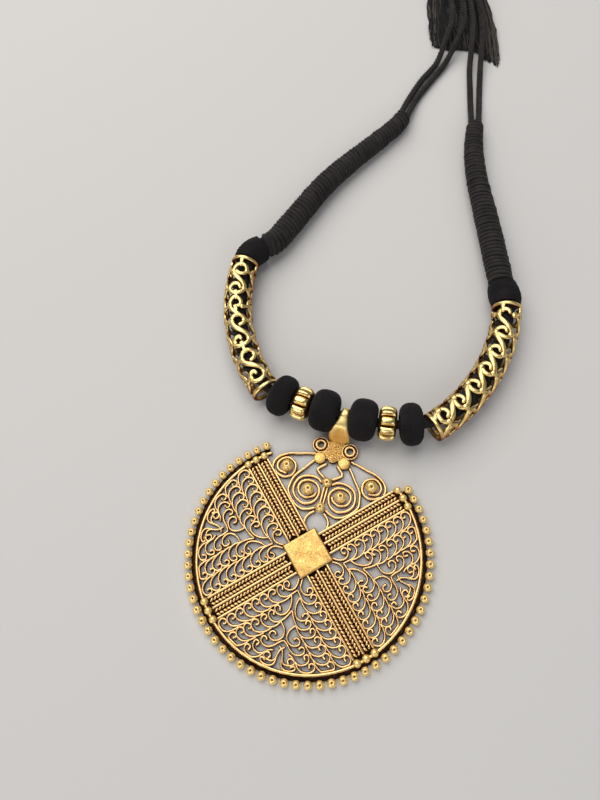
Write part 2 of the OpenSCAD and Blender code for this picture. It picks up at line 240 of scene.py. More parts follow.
class Tree(Network):
    """A Geometry Nodes tree, whose inputs are given as words."""

    def __init__(self, name, floats, integers):
        super().__init__(bpy.data.node_groups.new(name, "GeometryNodeTree"))
        face = self.tree.interface
        for way in ("INPUT", "OUTPUT"):
            face.new_socket("Geometry", in_out=way, socket_type="NodeSocketGeometry")
        for kind, words in (("Float", floats), ("Int", integers), ("Material", "Material")):
            for word in words.split():
                face.new_socket(word, in_out="INPUT", socket_type=f"NodeSocket{kind}")
        outputs = self.tree.nodes.new("NodeGroupInput").outputs
        self.material = outputs["Material"]
        self.given = outputs[:-2]  # the geometry and the sizes, in the order of the words

    def vector(self, operation, a, b=(0, 0, 0)):
        return self.add("ShaderNodeVectorMath", 0, {"operation": operation}, _0=a, _1=b)

    def scaled(self, vector, size):
        return self.add("ShaderNodeVectorMath", 0, {"operation": "SCALE"}, _0=vector, _3=size)

    def xyz(self, x, y, z):
        return self.add("ShaderNodeCombineXYZ", _0=x, _1=y, _2=z)

    def place(self):
        return self.add("GeometryNodeInputPosition")

    def along(self, out=0):
        """Way along a curve: 0 gives it as a share of the whole, 1 as a length."""
        return self.add("GeometryNodeSplineParameter", out)

    def named(self, name, vector=False):
        kind = "FLOAT_VECTOR" if vector else "FLOAT"
        return self.add("GeometryNodeInputNamedAttribute", 0, {"data_type": kind}, Name=name)

    def store(self, geometry, name, value, vector=False):
        kind = "FLOAT_VECTOR" if vector else "FLOAT"
        return self.add("GeometryNodeStoreNamedAttribute", 0, {"data_type": kind, "domain": "POINT"},
                        Geometry=geometry, Name=name, Value=value)

    def noise(self, place, scale, detail=1.0):
        """Noise about zero, from -0.5 to 0.5."""
        n = self.add("ShaderNodeTexNoise", 0, {"noise_dimensions": "3D"}, Vector=place, Scale=scale,
                     Detail=detail)
        return self.math("SUBTRACT", n, 0.5)

    def shifts(self, place, scale, amount, apart=7.3, detail=1.0):
        """Two smooth random lengths at each place."""
        return [self.times(self.noise(self.vector("ADD", place, (k, 0, 0)), scale, detail), amount)
                for k in (0.0, apart)]

    def chance(self, low, high, seed):
        """Random number, or a random vector between two that are given as tuples."""
        vector = isinstance(low, tuple)
        return self.add("FunctionNodeRandomValue", 0 if vector else 1,
                        {"data_type": "FLOAT_VECTOR" if vector else "FLOAT"}, Min=low, Max=high, Seed=seed)

    def curve_table(self, value, rows):
        """Value looked up in a short table of (in, out)."""
        node = self.tree.nodes.new("ShaderNodeFloatCurve")
        points = node.mapping.curves[0].points
        points[0].location = rows[0]
        points[1].location = rows[-1]
        for x, y in rows[1:-1]:
            points.new(x, y)
        node.mapping.update()
        self.tree.links.new(value, node.inputs["Value"])
        return node.outputs[0]

    def moved(self, geometry, **how):
        return self.add("GeometryNodeSetPosition", Geometry=geometry, **how)

    def rotation(self, euler):
        return self.add("FunctionNodeEulerToRotation", Euler=euler)

    def spots(self, count, step=(0, 0, 0), start=(0, 0, 0)):
        """Row of points."""
        return self.add("GeometryNodeMeshLine", 0, {"mode": "OFFSET"}, Count=count, Start_Location=start,
                        Offset=step)

    def copies(self, points, shape, **how):
        """The shape at every point, each copy real."""
        made = self.add("GeometryNodeInstanceOnPoints", Points=points, Instance=shape, **how)
        return self.add("GeometryNodeRealizeInstances", Geometry=made)

    def quarters(self, shape, count, start):
        """Copies of a shape, each a quarter turn further round the origin."""
        turn = self.times_plus(self.add("GeometryNodeInputIndex"), math.pi / 2, start)
        return self.copies(self.spots(count), shape, Rotation=self.rotation(self.xyz(0.0, 0.0, turn)))

    def curves(self, mesh):
        return self.add("GeometryNodeMeshToCurve", Mesh=mesh)

    def straight(self, end, count):
        """Straight curve from the origin, with a number of points."""
        line = self.add("GeometryNodeCurvePrimitiveLine", 0, {"mode": "POINTS"}, Start=(0, 0, 0), End=end)
        return self.add("GeometryNodeResampleCurve", 0, {"mode": "COUNT"}, Curve=line, Count=count)

    def profile(self, sides):
        """Round profile of radius 1 that stores its own turn as cosine and sine."""
        circle = self.add("GeometryNodeCurvePrimitiveCircle", 0, {"mode": "RADIUS"}, Resolution=sides,
                          Radius=1.0)
        return self.store(circle, "round", self.place(), vector=True)

    def section(self, sides, width, height, square):
        """Wire section, round at 1 and squarer below, that stores its own turn."""
        circle = self.profile(sides)
        corner = []
        for k, size in zip(self.parts(self.place()), (width, height)):
            swollen = self.math("POWER", self.math("ABSOLUTE", k), square)
            corner.append(self.times(self.math("SIGN", k), swollen, self.times(size, 0.5)))
        return self.moved(circle, Position=self.xyz(*corner, 0.0))

    def sweep(self, curve, profile, scale):
        return self.add("GeometryNodeCurveToMesh", Curve=curve, Profile_Curve=profile, Fill_Caps=True,
                        Scale=scale)

    def wire(self, curve, sides, width, height, square):
        """Wire along a curve, with its share of the width at each point."""
        curve = self.add("GeometryNodeSetCurveNormal", 0, {"mode": "Z_UP"}, Curve=curve)
        return self.sweep(curve, self.section(sides, width, height, square), self.named("thick"))

    def finish(self, geometry):
        real = self.add("GeometryNodeRealizeInstances", Geometry=geometry)
        done = self.add("GeometryNodeSetMaterial", Geometry=real, Material=self.material)
        out = self.tree.nodes.new("NodeGroupOutput")
        self.tree.links.new(done, out.inputs[0])
        return self


def grow(tree, mesh, place=UNMOVED, **values):
    """Runs a tree on a mesh and gives the plain mesh that comes out, at its place."""
    source = add_object("source", mesh)
    modifier = source.modifiers.new("tree", "NODES")
    modifier.node_group = tree.tree
    for item in tree.tree.interface.items_tree:
        if item.in_out == "INPUT" and item.name in values:
            modifier[item.identifier] = values[item.name]
    graph = bpy.context.evaluated_depsgraph_get()
    made = bpy.data.meshes.new_from_object(source.evaluated_get(graph), depsgraph=graph)
    bpy.data.objects.remove(source)
    made.transform(place)
    return made


# Geometry Nodes trees

CURL_WANDER_SCALE = 160.0  # noise scale of the small unevenness of curls
TUBE_WANDER_SCALE = 130.0  # and of the tubes' scrolls
TUBE_WANDER = 1.1
TUBE_SQUARE = 0.62  # section of the tubes' wires, where 1 is round


def wire_tree():
    """Wires with a rounded section along lines."""
    t = Tree("wires_along_lines", "Width Height Square", "Sides")
    lines, width, height, square, sides = t.given
    return t.finish(t.wire(t.curves(lines), sides, width, height, square))


def scroll_tree():
    """A row of curled wires along an arm, on both sides of each quadrant's middle line."""
    t = Tree("scroll_row", "First Step Away Rise Width Height Wander Rim", "Count Sides")
    curl, first, step, away, rise, width, height, wander, rim, count, sides = t.given
    half = t.copies(t.spots(count, t.xyz(step, 0.0, 0.0), t.xyz(first, away, rise)), t.curves(curl))
    both = t.add("GeometryNodeJoinGeometry", Geometry=[
        t.add("GeometryNodeTransform", Geometry=half, Scale=(1, side, 1),
              Rotation=(0, 0, math.radians(-45 * side))) for side in (1, -1)])
    turned = t.quarters(both, 3, math.pi)
    place = t.place()
    turned = t.moved(turned, Offset=t.xyz(*t.shifts(place, CURL_WANDER_SCALE, wander), 0.0))
    out = t.add("ShaderNodeVectorMath", 1, {"operation": "LENGTH"}, _0=t.vector("MULTIPLY", place, (1, 1, 0)))
    inside = t.math("MINIMUM", t.math("DIVIDE", rim, out), 1.0)
    turned = t.moved(turned, Position=t.vector("MULTIPLY", place, t.xyz(inside, inside, 1.0)))
    return t.finish(t.wire(turned, sides, width, height, WIRE_SQUARE))


def ball_tree():
    """Cast balls with a small dimple on top, at points with their own diameter."""
    t = Tree("cast_balls", "Dimple", "Segments Rings")
    spots, dimple, segments, rings = t.given
    ball = t.add("GeometryNodeMeshUVSphere", Segments=segments, Rings=rings, Radius=0.5)
    dimple_edge, dimple_floor, upper_part = 0.17, 0.05, 0.2  # as shares of the diameter
    x, y, z = t.parts(t.place())
    out = t.math("SQRT", t.plus(t.times(x, x), t.times(y, y)))
    near = t.spread(out, dimple_edge, dimple_floor, kind="SMOOTHSTEP")
    down = t.times(near, t.math("GREATER_THAN", z, upper_part), t.times(dimple, -1.0))
    ball = t.moved(ball, Offset=t.xyz(0.0, 0.0, down))
    lean = t.chance((-0.12, -0.12, 0.0), (0.12, 0.12, 6.2), 5)
    return t.finish(t.copies(spots, ball, Scale=t.named("size"), Rotation=t.rotation(lean)))


def braid_tree():
    """Rows of slanting leaves along the four arms."""
    t = Tree("braided_rows", "Pitch Length Breadth Height", "Count")
    starts, pitch, length, breadth, height, count = t.given
    rows = t.copies(starts, t.spots(count, t.xyz(pitch, 0.0, 0.0)))
    leaf = t.add("GeometryNodeMeshUVSphere", Segments=8, Rings=6, Radius=0.5)
    leaf = t.add("GeometryNodeTransform", Geometry=leaf, Scale=t.xyz(length, breadth, height))
    slant = t.plus(t.named("tilt"), t.chance(-0.12, 0.12, 3))
    leaves = t.copies(rows, leaf, Rotation=t.rotation(t.xyz(0.0, 0.0, slant)))
    return t.finish(t.quarters(leaves, 4, math.pi / 4))


def tube_tree():
    """Flat scrollwork repeated along and round a tube, then rolled up and bent."""
    t = Tree("tube_scrolls", "First Unit Radius Bend Side Width Height", "Along Round")
    scroll, first, unit, radius, bend, side, width, height, count, rows = t.given
    line = t.spots(count, t.xyz(unit, 0.0, 0.0), t.xyz(first, 0.0, 0.0))
    gap = t.math("DIVIDE", t.times(radius, 2 * math.pi), rows)
    net = t.copies(t.copies(t.spots(rows, t.xyz(0.0, gap, 0.0)), line), t.curves(scroll))
    net = t.moved(net, Offset=t.xyz(*t.shifts(t.place(), TUBE_WANDER_SCALE, TUBE_WANDER * MM), 0.0))
    net = t.wire(net, 12, width, height, TUBE_SQUARE)
    x, y, z = t.parts(t.place())
    turn = t.math("DIVIDE", y, radius)
    out = t.plus(t.math("SUBTRACT", radius, t.times(height, 0.5)), z)
    far = t.plus(bend, t.times(out, t.math("SINE", turn), side))
    angle = t.times(t.math("DIVIDE", x, bend), side)
    rolled = t.xyz(t.times(far, t.math("COSINE", angle)), t.times(far, t.math("SINE", angle)),
                   t.times(out, t.math("COSINE", turn)))
    return t.finish(t.add("GeometryNodeFlipFaces", Mesh=t.moved(net, Position=rolled)))


def winding_tree():
    """Threads wound round a line: each point has its reach, its turn and two directions."""
    t = Tree("wound_thread", "Thread Wander Seed", "Steps Starts Sides")
    lines, thread, wander, seed, steps, starts, sides = t.given
    curve = t.add("GeometryNodeSubdivideCurve", Curve=t.curves(lines), Cuts=steps)
    copies = t.add("GeometryNodeDuplicateElements", 0, {"domain": "SPLINE"}, Geometry=curve, Amount=starts)
    number = copies.node.outputs[1]
    turns = t.plus(t.named("turn"), t.math("DIVIDE", number, starts))
    angle = t.times(turns, 2 * math.pi)
    spot = t.vector("ADD", t.place(), t.xyz(seed, t.times(number, 3.1), turns))
    loose_out, loose_along = t.shifts(spot, 2.3, wander, apart=19.0, detail=2.0)
    side, up = t.named("side", True), t.named("up", True)
    out = t.vector("ADD", t.scaled(side, t.math("COSINE", angle)), t.scaled(up, t.math("SINE", angle)))
    move = t.vector("ADD", t.scaled(out, t.plus(t.named("reach"), loose_out)),
                    t.scaled(t.vector("CROSS_PRODUCT", side, up), loose_along))
    curve = t.store(t.moved(copies, Offset=move), "along", t.along(1))
    thick = t.times(thread, t.times_plus(t.noise(spot, 5.0), 0.25, 0.5))
    return t.finish(t.sweep(curve, t.profile(sides), thick))


def fibre_tree():
    """Short loose fibres that stand out of a wound surface."""
    t = Tree("loose_fibres", "Density Length Thickness", "Seed")
    surface, density, length, thickness, seed = t.given
    spots = t.add("GeometryNodeDistributePointsOnFaces", 0, {"distribute_method": "RANDOM"},
                  Mesh=surface, Density=density, Seed=seed)
    along = t.along()
    bow = t.times(along, along)
    line = t.moved(t.straight((0, 0, 1), 4), Offset=t.xyz(t.times(bow, 0.9), 0.0, t.times(bow, -0.55)))
    thin = t.times(t.math("DIVIDE", thickness, length), t.times_plus(along, -0.35, 0.5))
    hair = t.sweep(line, t.profile(3), thin)
    spin = t.rotation(t.chance((-0.7, -0.7, -3.1), (0.7, 0.7, 3.1), seed))
    lean = t.add("FunctionNodeRotateRotation", 0, {"rotation_space": "LOCAL"},
                 Rotation=spots.node.outputs[2], Rotate_By=spin)
    size = t.times(t.chance(0.35, 1.0, seed), length)
    hairs = t.copies(spots, hair, Rotation=lean, Scale=t.xyz(size, size, size))
    x, y, z = t.parts(t.place())
    above = t.math("MAXIMUM", z, t.times(thickness, 0.5))
    return t.finish(t.moved(hairs, Position=t.xyz(x, y, above)))


# The tassel from its bound neck to its tips, as shares: how wide it fans out, and how deep it lies
FAN = [(0, 0.11), (0.12, 0.42), (0.28, 0.8), (0.5, 0.98), (0.75, 1.0), (1, 1.0)]
DEPTH = [(0, 0.98), (0.12, 0.92), (0.28, 0.8), (0.5, 0.68), (0.75, 0.52), (0.92, 0.36), (1, 0.16)]
# Length of its threads from its left edge to its right one, as a share of its reach
THREAD_LENGTHS = [(0, 0.73), (0.25, 0.78), (0.5, 0.79), (0.75, 0.88), (1, 0.97)]
TASSEL_DEPTH = 3.3
TASSEL_LOCKS = 8
TASSEL_WAVE = 6.0
TASSEL_FRIZZ = 2.8


def tassel_tree():
    """Loose threads side by side and over each other, from the bound neck to the tips."""
    t = Tree("tassel_threads", "Reach Spread Start Left Right Thread", "Count Seed")
    reach, spread, start, left, right, thread, count, seed = t.given[1:]

    def chance(low, high, extra):
        return t.chance(low, high, t.plus(seed, float(extra)))

    dots = t.spots(count)
    for name, value in (("across", chance(left, right, 1)), ("layer", chance(0.0, 1.0, 2)),
                        ("trim", chance(0.82, 1.0, 3)),
                        ("tone", t.math("POWER", chance(0.0, 1.0, 4), 2.0))):
        dots = t.store(dots, name, value)
    threads = t.copies(dots, t.straight((1, 0, 0), 16))
    along = t.along()
    across, layer, trim = (t.named(k) for k in ("across", "layer", "trim"))
    part = t.times_plus(across, 0.5, 0.5)
    length = t.times(t.curve_table(part, THREAD_LENGTHS), trim, t.math("SUBTRACT", reach, start))
    lock = t.times_plus(t.math("COSINE", t.times(part, 2 * math.pi * TASSEL_LOCKS)), 0.13, 0.87)
    wave = [t.times(t.noise(t.xyz(t.times(across, 4.0), t.times_plus(along, 3.0, k),
                                  t.times(layer, 0.8)), 1.0), along) for k in (0.0, 31.0)]
    frizz = t.times(t.noise(t.xyz(t.times(across, 70.0), t.times(along, 9.0), t.times(layer, 30.0)), 1.0),
                    along)
    x = t.times(across, t.curve_table(along, FAN), t.times(spread, 0.5))
    x = t.plus(x, t.times_plus(wave[0], TASSEL_WAVE * MM, t.times(frizz, TASSEL_FRIZZ * MM)))
    y = t.math("SUBTRACT", t.times(length, along, -1.0), start)
    y = t.plus(y, t.times(wave[1], TASSEL_WAVE / 3 * MM))
    deep = t.times(t.curve_table(along, DEPTH), lock, TASSEL_DEPTH * MM)
    z = t.times_plus(layer, deep, t.times(thread, 0.62))
    threads = t.store(t.moved(threads, Position=t.xyz(x, y, z)), "along", t.along(1))
    return t.finish(t.sweep(threads, t.profile(4), t.times(thread, 0.5)))


# Materials

class Finish(Network):
    """A material and its main shader, built node by node."""

    def __init__(self, name, **shader):
        self.material = bpy.data.materials.new(name)
        self.material.use_nodes = True
        super().__init__(self.material.node_tree)
        self.shader = self.tree.nodes["Principled BSDF"]
        for key, value in shader.items():
            self.shader.inputs[key.replace("_", " ")].default_value = value

    def noise(self, scale, detail=3.0, rough=0.6):
        """Noise on the object's own coordinates."""
        return self.add("ShaderNodeTexNoise", Vector=self.add("ShaderNodeTexCoord", 3), Scale=scale,
                        Detail=detail, Roughness=rough)

    def attribute(self, name, out):
        """Attribute of the mesh: 1 gives it as a vector, 2 as a number."""
        return self.add("ShaderNodeAttribute", out, {"attribute_name": name})

    def ramp(self, value, stops):
        """Colour between stops of (place, colour)."""
        node = self.tree.nodes.new("ShaderNodeValToRGB")
        bar = node.color_ramp.elements
        while len(bar) < len(stops):
            bar.new(0.5)
        for element, (at, colour) in zip(bar, stops):
            element.position = at
            element.color = (*colour, 1)
        self.tree.links.new(value, node.inputs[0])
        return node.outputs[0]

    def bump(self, height, strength, distance):
        return self.add("ShaderNodeBump", Strength=strength, Distance=distance, Height=height)

    def set(self, **sockets):
        for key, value in sockets.items():
            self.tree.links.new(value, self.shader.inputs[key.replace("_", " ")])
        return self.material


# Darkest tones, in hidden corners (patina and painted shade) and on sideways flanks (painted shade)
GOLD_DARK = (0.012, 0.004, 0.002)
GOLD_BROWN = (0.23, 0.07, 0.018)
# Middle, bright and worn tones: of the drawn wires, and of the cast and beaten parts; the brightest falls on
# open, upward faces, partly wear and partly painted light
WIRE_TONES = ((0.63, 0.295, 0.088), (0.87, 0.49, 0.18), (0.97, 0.66, 0.30))
CAST_TONES = ((0.60, 0.345, 0.10), (0.86, 0.57, 0.20), (0.98, 0.74, 0.30))
TONE_STOPS = (0.0, 0.3, 0.58, 0.85, 1.0)
DARK_ROUGHNESS = 0.62
# Scales of the noise in metal and thread
PATCHES = 650.0
SPECKLES = 3300.0
SHINE_PATCHES = 1500.0
METAL_GRAIN = 4200.0
THREAD_PATCHES = 260.0
THREAD_FUZZ = 5200.0


def antique_gold(name, depth=0.0009, less_patina_and_shade=0.1, edge=1.0, grain=0.3, rough=0.3, speckle=0.0, dim=0.0,
                 metal=1.0, tones=WIRE_TONES):
    """Cast gold-plated brass: bright where it stands out, partly wear and partly painted light; dark brown in
    corners with patina and painted shade, and on low flanks with painted shade.
    """
    f = Finish(name, Metallic=metal)
    seen = f.add("ShaderNodeAmbientOcclusion", 1, {"samples": 8, "only_local": False}, Distance=depth)
    upward = f.parts(f.add("ShaderNodeNewGeometry", 1))[2]
    # Patina and painted shade darken hidden corners, and painted shade darkens the flanks that face sideways,
    # down to edge; then uneven in patches and speckles
    level = f.times(f.spread(seen, 0.30 - less_patina_and_shade, 0.85 - less_patina_and_shade), f.spread(upward, 0.05, 0.7, edge, 1.0))
    level = f.plus(level, f.times_plus(f.noise(PATCHES, 4.0, 0.65), 0.5, -0.23))
    if speckle:
        spots = f.times_plus(f.noise(SPECKLES, 2.0), speckle, -0.5 * speckle - dim)
        level = f.plus(level, spots)
    colour = f.ramp(level, list(zip(TONE_STOPS, (GOLD_DARK, GOLD_BROWN, *tones))))
    shine = f.plus(f.spread(level, 0.1, 0.9, DARK_ROUGHNESS, rough),
                   f.times_plus(f.noise(SHINE_PATCHES), 0.16, -0.08))
    grains = f.bump(f.noise(METAL_GRAIN, 3.0, 0.7), grain, 0.00012)
    return f.set(Base_Color=colour, Roughness=shine, Normal=grains)


def patina_and_shade_finish():
    """Ground of the pierced plate and underside of the wires: dark reddish brown, partly oxide and partly
    painted shade under and between the gilded parts.
    """
    f = Finish("dark_patina", Metallic=0.75)
    level = f.noise(900.0, 4.0, 0.7)
    colour = f.ramp(level, [(0.3, (0.008, 0.003, 0.002)), (0.55, (0.035, 0.012, 0.006)),
                            (0.8, (0.15, 0.06, 0.02))])
    return f.set(Base_Color=colour, Roughness=f.spread(level, 0.3, 0.8, 0.7, 0.5),
                 Normal=f.bump(f.noise(3500.0), 0.4, 0.00015))


def black_thread(name, colour, fleck_and_glint, pitch, sheen, uneven=0.0):
    """Black cotton thread: twisted plies, lighter flecks, and a tone of its own for each thread where uneven;
    the lighter tone is partly the thread's own and partly painted glints.
    """
    f = Finish(name, Roughness=0.82, Sheen_Weight=sheen, Sheen_Roughness=0.45,
               Sheen_Tint=(0.55, 0.53, 0.56, 1), Specular_IOR_Level=0.25)
    angle = f.times(f.attribute("along", 2), 2 * math.pi / pitch)
    x, y = f.parts(f.attribute("round", 1))[:2]
    ply = f.math("ABSOLUTE", f.plus(f.times(f.math("COSINE", angle), x), f.times(f.math("SINE", angle), y)))
    fuzz = f.noise(THREAD_FUZZ, 3.0, 0.7)
    tone = f.plus(f.times(f.noise(THREAD_PATCHES), 0.7), f.times(fuzz, 0.45))
    if uneven:
        tone = f.plus(tone, f.times_plus(f.attribute("tone", 2), uneven, -0.5 * uneven))
    twist = f.bump(f.plus(ply, f.times(fuzz, 0.6)), 0.5, 0.0001)
    # Lighter flecks and threads: partly the thread's own tone, partly painted glints
    return f.set(Base_Color=f.ramp(tone, [(0.3, colour), (0.8, fleck_and_glint)]), Normal=twist)


# Each finish below sets how far its corners darken with patina and painted shade, and how far its sideways
# flanks darken with painted shade
GOLD = antique_gold("antique_gold", less_patina_and_shade=0.12, edge=0.15, dim=-0.05, speckle=0.4,
                    tones=(WIRE_TONES[0], *CAST_TONES[1:]))
GOLD_BALLS = antique_gold("antique_gold_balls", depth=0.0008, less_patina_and_shade=0.02, grain=0.05, rough=0.42,
                          speckle=0.4, dim=-0.3, metal=0.82, tones=CAST_TONES)
GOLD_GRAINS = antique_gold("antique_gold_grains", depth=0.0003, less_patina_and_shade=0.35, edge=0.4, grain=0.1, rough=0.34)
GOLD_WIRE = antique_gold("antique_gold_wire", depth=0.0005, less_patina_and_shade=0.22, edge=0.1)
GOLD_BOLD = antique_gold("antique_gold_bold_wire", depth=0.0007, less_patina_and_shade=0.2, edge=0.3)
GOLD_SATIN = antique_gold("antique_gold_satin", depth=0.0008, less_patina_and_shade=0.2, edge=0.4, grain=0.6, rough=0.4,
                          speckle=2.0, dim=0.46, tones=CAST_TONES)
GOLD_BAIL = antique_gold("antique_gold_bail", depth=0.0008, less_patina_and_shade=0.25, edge=0.9, grain=0.4, rough=0.38,
                         speckle=0.9, dim=-0.04, tones=CAST_TONES)
GOLD_PLATE = antique_gold("antique_gold_plate", depth=0.0008, less_patina_and_shade=0.12, edge=0.3, grain=0.2, rough=0.38,
                          speckle=0.9, dim=0.31, tones=CAST_TONES)
GOLD_POLISHED = antique_gold("antique_gold_polished", depth=0.0011, less_patina_and_shade=0.0, grain=0.12, rough=0.22,
                             tones=CAST_TONES)
PATINA_AND_SHADE = patina_and_shade_finish()
WOUND_THREAD = black_thread("black_wound_thread", (0.003, 0.0026, 0.003), (0.014, 0.012, 0.013),
                            pitch=0.0006, sheen=0.06)
CORD_THREAD = black_thread("black_cord_thread", (0.0035, 0.003, 0.003), (0.034, 0.029, 0.027),
                           pitch=0.0013, sheen=0.14)
LOOSE_THREAD = black_thread("black_loose_thread", (0.003, 0.0026, 0.0024), (0.085, 0.072, 0.062),
                            pitch=0.0007, sheen=0.14, uneven=0.9)


# Camera

CAMERA_AT = (0.017913, -0.130369, 0.177213)
CAMERA_TURN = (21.74549, 3.66281, 15.90054)
LENS = 28.652


def make_camera():
    """Camera fitted to the pendant's round rim in the photograph."""
    data = bpy.data.cameras.new("camera")
    data.lens = LENS
    data.sensor_width = 36.0
    data.sensor_fit = "AUTO"
    data.clip_start = 0.005
    data.clip_end = 20
    camera = add_object("camera", data)
    camera.location = CAMERA_AT
    camera.rotation_euler = [math.radians(a) for a in CAMERA_TURN]
    bpy.context.scene.camera = camera


make_camera()

WIRES = wire_tree()
WINDING = winding_tree()
FIBRES = fibre_tree()
BALLS = ball_tree()
TUBE_SCROLLS = tube_tree()


# Cords

CLOSE = 0.93  # way from one turn of thread to the next, as a share of its thickness
FIBRE_D = 0.05


def frames_along(points):
    """Two directions across a line at each of its points."""
    t = np.gradient(points, axis=0)
    t /= np.linalg.norm(t, axis=1)[:, None]
    side = np.cross(t, [0, 0, 1])
    side /= np.linalg.norm(side, axis=1)[:, None]
    return side, np.cross(side, t)


def cord_line(route, spacing=0.8):
    """Even line through a route's rows of x, y, z and width in millimetres."""
    return even(smooth(route, 8), spacing)


def wound_cord(line, thread, starts, seed, material, pitch=None, core=1.1, core_sides=16, wander=0.0,
               steps=16, inner=0.0):
    """Smooth core, and threads wound round it: close together unless their pitch is given."""
    points = row(line[:, :3])
    side, up = frames_along(points)
    reach = (line[:, 3] - thread) / 2 * MM - inner * MM
    turns = distances(line) / (pitch or thread * CLOSE * starts)
    middle = line_mesh([points], {"thick": (line[:, 3] - thread * core) * MM})
    wound = line_mesh([points], {"side": side, "up": up, "reach": reach, "turn": turns})
    return [grow(WIRES, middle, Width=1.0, Height=1.0, Sides=core_sides, Square=1.0, Material=material),
            grow(WINDING, wound, Steps=steps, Starts=starts, Thread=thread * MM, Wander=wander * MM,
                 Sides=6, Seed=float(seed), Material=material)]


def rope(line, thread, pitch, seed):
    """Rope of five plies twisted round each other."""
    return wound_cord(line, thread, 5, seed, CORD_THREAD, pitch=pitch, core=1.3, core_sides=8, steps=1)


def add_fibres(parts, source, seed, material, density, length=1.1):
    """Loose fibres on the source mesh, so many on each square metre, added to the parts."""
    parts.append(grow(FIBRES, source.copy(), Density=density, Length=length * MM, Thickness=FIBRE_D * MM,
                      Seed=seed, Material=material))


# Routes over the surface: x, y, z and width for a neck cord, and x, y, z for a strand
NECK_CORDS = {
    "neck_cord_left": [[-39.4, 90, 4.8, 8], [-37, 92.8, 4.5, 8.1], [-35.1, 97.4, 4.3, 8.2],
                       [-31.2, 108.4, 4.2, 8], [-27, 119.6, 4, 7.7], [-21.8, 129.6, 3.7, 7.2],
                       [-15.4, 140, 3.5, 6.7], [-9.6, 150, 3.3, 6.3], [-8.2, 154.6, 3.2, 6]],
    "neck_cord_right": [[35.8, 93.7, 4.9, 7.8], [32.6, 103, 4.3, 8], [28.4, 114.6, 4.1, 7.8],
                        [24.2, 125.6, 3.9, 7.4], [20.6, 136, 3.6, 7], [18.2, 146, 3.4, 6.6],
                        [16.9, 156, 3.2, 6]]}
STRANDS = {
    "strand_left_1": [[-9.4, 155.2, 3.4], [-8.2, 165, 1.6], [-5.6, 175, 1.4], [-2, 184, 1.8],
                      [-0.8, 193, 4.2], [-0.4, 202, 4.9], [-2, 211, 5.2], [-5.6, 221, 5.8],
                      [-9.2, 231, 7], [-10.4, 236.6, 7.4]],
    "strand_left_2": [[-7, 154.8, 3.4], [-5.6, 165, 1.6], [-2.6, 174.4, 1.4], [1, 184, 1.8],
                      [3.4, 194, 4.6], [4, 203, 5.1], [2, 212, 5.4], [-2.4, 222, 6],
                      [-6.8, 231, 7], [-8.1, 237.2, 7.4]],
    "strand_right_1": [[15.6, 156.2, 3.4], [13.8, 166, 1.6], [12, 175, 1.4], [10.2, 184, 1.8],
                       [8.8, 194, 4.6], [7.2, 204, 5.1], [4.6, 213, 5.4], [0.4, 223, 6],
                       [-4.2, 232, 7], [-5.8, 237.9, 7.4]],
    "strand_right_2": [[18, 156.4, 3.4], [16.8, 166, 1.6], [15.4, 175, 1.4], [13.8, 185, 2.4],
                       [12.4, 195, 4.8], [10.4, 205, 5.2], [7.6, 214, 5.4], [3.2, 224, 6],
                       [-1.8, 233, 7], [-3.5, 238.6, 7.4]]}
NECK_THREAD_D = 1.5
STRAND_D = 2.2
STRAND_PLY_D = 0.8
STRAND_PITCH = 7.0  # way along the strand in which its plies turn once


def make_neck_cord(name, route, seed):
    """Cord wound with two threads side by side."""
    line = cord_line(route)
    parts = wound_cord(line, NECK_THREAD_D, 2, seed, CORD_THREAD, wander=0.45, steps=14, inner=0.06)
    add_fibres(parts, parts[1], seed, CORD_THREAD, density=3.5e5, length=1.5)
    o = piece(f"{name}_wound", parts, name)
    points = row(line[:, :3])


def make_strand(name, route, seed):
    line = cord_line([[*p, STRAND_D] for p in route], 0.9)
    parts = rope(line, STRAND_PLY_D, STRAND_PITCH, seed)
    add_fibres(parts, parts[1], seed, CORD_THREAD, density=2.5e5, length=0.9)
    o = piece(f"{name}_rope", parts, name)
    points = row(line[:, :3])


def make_cords():
    for number, (name, route) in enumerate(NECK_CORDS.items()):
        make_neck_cord(name, route, 11 + number)
    for number, (name, route) in enumerate(STRANDS.items()):
        make_strand(name, route, 21 + number)


# Pendant

ARMS = (45, 135, 225, 315)
ARM_W = 6.0
RIM_R = 32.9
PLATE_R = 30.6
QUADRANTS = (180, 270, 360)
# One curled wire, from the middle of its curl: along the arm, away from it, share of the width
CURL = [[-2.9, 3.3, 0.8], [-2.1, 3.35, 0.95], [-1.0, 3.2, 1], [0.2, 2.72, 1], [1.1, 1.85, 1.05],
        [1.48, 0.7, 1.05], [1.1, -0.38, 1], [0.2, -0.84, 1], [-0.62, -0.52, 1], [-0.82, 0.15, 1],
        [-0.42, 0.66, 1], [0.12, 0.55, 1.3]]
CURL_WIDTH = 0.57
# Rows of alike curls: away from the arm, first curl, step, how many
CURL_ROWS = [[4.3, 15.7, 2.47, 6], [8.7, 20.6, 2.25, 4]]
CURL_RIM_R = 29.9
# The openwork's wires, gilded above and dark below, the dark partly patina and partly painted shade on their
# flanks: height of the middle, width, height, sides, finish
CURL_LAYERS = ((1.0, CURL_WIDTH, 0.95, 10, GOLD_WIRE), (0.53, 0.72, 0.8, 6, PATINA_AND_SHADE))
